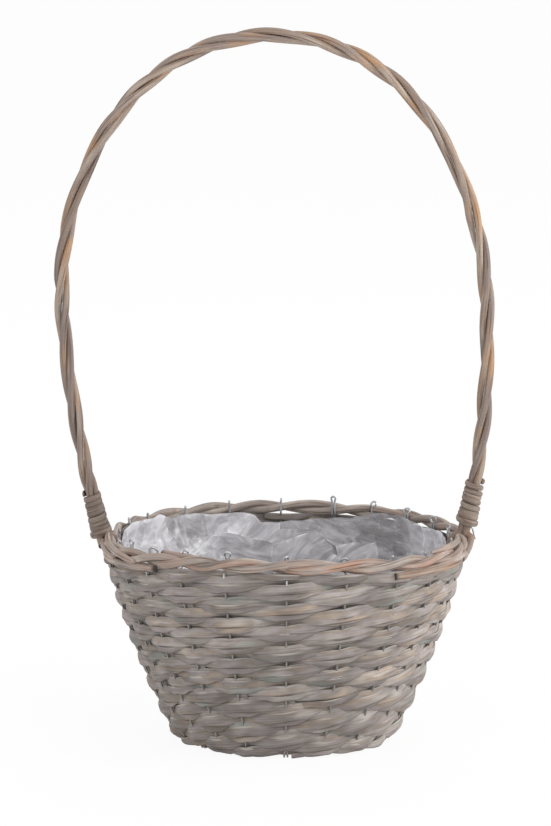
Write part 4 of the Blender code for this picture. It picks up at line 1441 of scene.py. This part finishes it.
@dataclass
class TwistedHandle:
    """The handle: three willow rods twisted together with a thin wire. One rod ends inside the rim at each
    foot and two outside it; at the right foot one of these lies down along the rim towards the front."""

    plan: BasketPlan
    arch: HandleArch
    rod_material: bpy.types.Material
    wire_material: bpy.types.Material
    rod_count: int = 3
    rod_radius: float = 0.0022
    bundle_radius: float = 0.00272
    hold_share: float = 0.84
    pitch: float = 0.1000
    left_hold: float = 0.0280
    right_hold: float = 0.0345
    core_wire_radius: float = 0.0006
    groove_radius: float = 0.0014
    groove_turn: float = 0.2
    steps_per_pitch: int = 30
    corners: int = 12
    rod_tones: tuple[float, ...] = (0.10, 0.60, 0.35)
    rod_hues: tuple[float, ...] = (0.2, 1.0, 0.6)
    wire_tip: tuple[tuple[float, float], ...] = ((0.0044, 0.0026), (0.0060, -0.0042))
    inner_end: tuple[tuple[float, float, float], ...] = (
        (0.0, 0.1109, 0.1312), (0.0, 0.1088, 0.1270), (0.0, 0.1082, 0.1222))
    short_end: tuple[tuple[float, float, float], ...] = (
        (-2.2, 0.1209, 0.1318), (-3.0, 0.1207, 0.1300), (-3.4, 0.1203, 0.1284))
    left_end: tuple[tuple[float, float, float], ...] = (
        (2.2, 0.1212, 0.1318), (3.4, 0.1206, 0.1296), (5.0, 0.1202, 0.1276))
    long_end: tuple[tuple[float, float, float], ...] = (
        (2.4, 0.1221, 0.1315), (5.0, 0.1217, 0.1290), (9.0, 0.1207, 0.1264), (15.0, 0.1200, 0.1245),
        (24.0, 0.1206, 0.1237), (36.0, 0.1212, 0.1234), (48.0, 0.1212, 0.1228), (56.0, 0.1204, 0.1224))

    def turn(self, length: np.ndarray) -> np.ndarray:
        """Turn of the rods: none in the bindings, whole turns with uneven pitch between them."""
        start, end = self.left_hold, self.arch.total - self.right_hold
        share = np.clip((length - start) / (end - start), 0, 1)
        share = share + 0.012 * np.sin(FULL_TURN * 2 * share) + 0.006 * np.sin(FULL_TURN * 5 * share)
        return share * round((end - start) / self.pitch) * FULL_TURN

    def spread(self, length: np.ndarray, number: int) -> np.ndarray:
        """Distance of a rod from the arch: pressed in by the bindings, loose here and there above them."""
        near = np.minimum(length - self.left_hold, self.arch.total - self.right_hold - length)
        free = np.clip(near / 0.012 + 0.3, 0, 1)
        common, own = wobble(length, 0.4, 0.11), wobble(length, number + 0.4, 0.07)
        loose = 1 + free * (0.10 * common + 0.05 * own + 0.03)
        return self.bundle_radius * (self.hold_share + (1 - self.hold_share) * free) * loose

    def tucked_end(self, foot: Foot, start: np.ndarray) -> np.ndarray:
        """Key points of a rod below a binding.

        Args:
            foot: Foot of the handle.
            start: Where the rod leaves the binding.

        Returns:
            Its key points, one row each.
        """
        angle = self.arch.foot_angle(foot)
        middle = self.arch.frame(np.array([0.0 if foot is Foot.LEFT else self.arch.total]))[0][0]
        if np.hypot(start[0], start[1]) < np.hypot(middle[0], middle[1]):
            places = self.inner_end
        else:
            front_end = self.left_end if foot is Foot.LEFT else self.long_end
            places = front_end if start[1] < middle[1] else self.short_end
        keys = []
        for degrees, radius, height in places:
            place = angle - foot.value * math.radians(degrees)
            swell = self.plan.rim_swell(place / FULL_TURN * self.plan.stake_count)
            keys.append(around(place, radius, height + float(swell)))
        return np.array(keys)

    def build(self) -> None:
        """Twist the rods and lay the wire between them."""
        count = round(self.arch.total / self.pitch * self.steps_per_pitch)
        length = np.linspace(0, self.arch.total, count)
        turn = self.turn(length)
        for number in range(self.rod_count):
            phase = math.pi + FULL_TURN * number / self.rod_count
            middle = self.arch.beside(length, self.spread(length, number), phase + turn)
            left = self.tucked_end(Foot.LEFT, middle[0])[::-1]
            right = self.tucked_end(Foot.RIGHT, middle[-1])
            start = smooth_line(np.vstack([left, middle[:2]]), 6)[:-6]
            end = smooth_line(np.vstack([middle[-2:], right]), 6)[6:]
            line = np.vstack([start, middle[1:-1], end])
            place = lengths_along(line)
            radii = self.rod_radius * (1 + 0.07 * wobble(place, number + 0.9, 0.09))
            radii = radii + 0.0003 * np.exp(-((place - 0.19 - 0.21 * number) / 0.004) ** 2)
            # Painted light: the rods are painted lighter towards the top of the arch and darker on the left
            # leg as painted shade.
            top_light_share = np.clip((line[:, 2] - 0.30) / 0.16, 0, 1)
            left_shade_share = np.clip(-line[:, 0] / 0.12, 0, 1)
            tone = self.rod_tones[number] + 0.25 * wobble(place, number + 0.2, 0.12) + 0.7 * top_light_share
            tone = tone - 0.28 * left_shade_share
            # Painted shade: the cut faces at both ends of a rod are painted dark.
            tip = np.minimum(place, place[-1] - place) < 0.0008
            plane = np.tile(self.arch.plane, (len(line), 1))
            bodies = SweptBodies()
            bodies.sweep(line, plane, round_profiles(radii, self.corners, 0.05, number), number + 0.6,
                         tone - 2.0 * tip, self.rod_hues[number])
            hand_over(bodies.piece(f"handle_bark_{number + 1}"), self.rod_material, Slot.HANDLE_WILLOW,
                      f"handle_rod_{number + 1}")
        line = self.arch.beside(length, self.groove_radius, turn + self.groove_turn)
        outward = around(self.arch.foot_angle(Foot.RIGHT), 1.0, 0.0)
        tip = [line[-1:] + outward * aside + UP * above for aside, above in self.wire_tip]
        line = np.vstack([line[1:-2], *tip])
        hand_over(wire_piece("handle_core_wire", [line], self.core_wire_radius), self.wire_material,
                  Slot.GALVANISED_WIRE, "handle_wire")


@dataclass
class CaneBinding:
    """One binding: cane wound tightly round the handle's rods just above the rim."""

    arch: HandleArch
    material: bpy.types.Material
    foot: Foot
    start: float
    cane_width: float
    bulge_share: float
    upper_radius: float
    lower_radius: float
    tone: float
    turns: int = 8
    turn_pitch: float = 0.0034
    steps_per_turn: int = 30

    def build(self) -> None:
        """Wind the cane; its first and last turns stand out and slant."""
        count = self.turns * self.steps_per_turn + 1
        turn = np.linspace(0, self.turns, count)
        ends = np.exp(-turn / 0.5) + np.exp(-(self.turns - turn) / 0.5)
        length = self.start + self.turn_pitch * (turn + 0.16 * np.sin(FULL_TURN * turn * 0.29))
        length = length + 0.0006 * (ends + 0.5 * np.sin(turn * 0.9)) * np.cos(FULL_TURN * turn + 0.9)
        if self.foot is Foot.RIGHT:
            length = self.arch.total - length
        share = turn / self.turns
        radius = self.lower_radius + (self.upper_radius - self.lower_radius) * share**0.7
        radius = radius + 0.00035 * ends + 0.00016 * np.sin(FULL_TURN * turn * 0.73)
        line = self.arch.beside(length, radius, FULL_TURN * turn)
        out = unit(line - self.arch.frame(length)[0])
        widths = self.cane_width * (1 + 0.07 * np.sin(turn * 2.3) + 0.12 * ends)
        tone = self.tone + 0.3 * np.sin(turn * 2.9)
        bodies = SweptBodies()
        bodies.sweep(line, out, split_profiles(widths, self.bulge_share, 0.10, 0.4), 0.55, tone,
                     0.4 + 0.3 * np.sin(turn * 1.7), tilt=0.10 * np.sin(turn * 2.1))
        side = "left" if self.foot is Foot.LEFT else "right"
        hand_over(bodies.piece(f"{side}_cane_winding"), self.material, Slot.CANE, f"{side}_binding")


# ---- studio


@dataclass(frozen=True)
class Lamp:
    """A square lamp that faces the basket."""

    name: str
    place: tuple[float, float, float]
    size: float
    watts: float
    aim_height: float = 0.15

    def build(self) -> None:
        """Hang the lamp."""
        bpy.ops.object.light_add(type="AREA", location=self.place)
        lamp = bpy.context.object
        lamp.name = self.name
        lamp.data.size = self.size
        lamp.data.energy = self.watts
        aim = np.array([0.0, 0.0, self.aim_height]) - np.array(self.place)
        pitch = math.atan2(math.hypot(aim[0], aim[1]), -aim[2])
        lamp.rotation_euler = (pitch, 0.0, math.atan2(-aim[0], aim[1]))


@dataclass
class Studio:
    """Pale floor, soft light and the camera at the photograph's angle."""

    paper: bpy.types.Material
    floor_size: float = 40.0
    camera_place: tuple[float, float, float] = (-0.00602, -2.5, 0.6337)
    camera_pitch: float = 0.1663
    lens_mm: float = 168.90
    sensor_mm: float = 36.0
    clip: tuple[float, float] = (0.01, 100.0)
    world_strength: float = 0.80
    lamps: tuple[Lamp, ...] = (
        Lamp("key lamp", (1.3, -1.7, 1.8), 1.3, 11.0), Lamp("side lamp", (2.3, -0.4, 0.8), 0.8, 26.0),
        Lamp("fill lamp", (-1.5, -1.8, 0.8), 1.6, 10.0), Lamp("back lamp", (0.3, 1.8, 1.8), 1.2, 10.0),
    )

    def build(self) -> None:
        """Lay the floor, hang the lamps and set the camera."""
        bpy.ops.object.select_all(action="DESELECT")
        bpy.ops.mesh.primitive_plane_add(size=self.floor_size, location=(0, 0, 0))
        floor = bpy.context.object
        floor.name = "studio_floor"
        floor.data.materials.append(self.paper)
        world = bpy.data.worlds.new("studio light")
        bpy.context.scene.world = world
        world.use_nodes = True
        tree = world.node_tree
        tree.nodes.clear()
        seen = add_node(tree, "LightPath").outputs["Is Camera Ray"]
        soft, plain = (add_node(tree, "Background", {"Color": WHITE, "Strength": strength}).outputs[0]
                       for strength in (self.world_strength, 1.0))
        mixed = add_node(tree, "MixShader", {0: seen, 1: soft, 2: plain}).outputs[0]
        add_node(tree, "OutputWorld", {"Surface": mixed})
        for lamp in self.lamps:
            lamp.build()
        bpy.ops.object.camera_add(location=self.camera_place,
                                  rotation=(math.pi / 2 - self.camera_pitch, 0.0, 0.0))
        camera = bpy.context.object
        camera.data.sensor_fit = "VERTICAL"
        camera.data.sensor_height = self.sensor_mm
        camera.data.lens = self.lens_mm
        camera.data.clip_start, camera.data.clip_end = self.clip
        bpy.context.scene.camera = camera
        bpy.context.scene.view_settings.view_transform = "Standard"


def main() -> None:
    """Build the basket's parts in order and set the studio."""
    logging.basicConfig(level=logging.INFO, format="%(message)s")
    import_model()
    plan = BasketPlan()
    willow = SplitWillow().build()
    rim_bark = WillowRod("rim willow with bark", "968A82", "BBAEA3", "55443A", "AC8672").build()
    handle_bark = WillowRod("handle willow with bark", "8B7C73", "A99A8C", "57433A", "B08A68").build()
    cane = WillowRod("split cane", "8F8074", "A89889", "5A4A40", "A0887A", streak_length_mm=14.0).build()
    wire = GalvanisedWire().build()
    WovenWall(plan, willow).build()
    WireHairpins(plan, wire).build()
    TwinedRim(plan, rim_bark).build()
    WovenBase(plan, willow, wire).build()
    FilmLiner(plan, CloudedFilm().build()).build()
    arch = HandleArch(plan)
    TwistedHandle(plan, arch, handle_bark, wire).build()
    # The left binding's lower tone is painted shade on the left side of the handle.
    CaneBinding(arch, cane, Foot.LEFT, start=0.0006, cane_width=0.0039, bulge_share=0.20,
                upper_radius=0.0050, lower_radius=0.0064, tone=-0.8).build()
    CaneBinding(arch, cane, Foot.RIGHT, start=0.0071, cane_width=0.0037, bulge_share=0.36,
                upper_radius=0.0049, lower_radius=0.0060, tone=0.1).build()
    Studio(PaperBackdrop().build()).build()


if __name__ == "__main__":
    main()
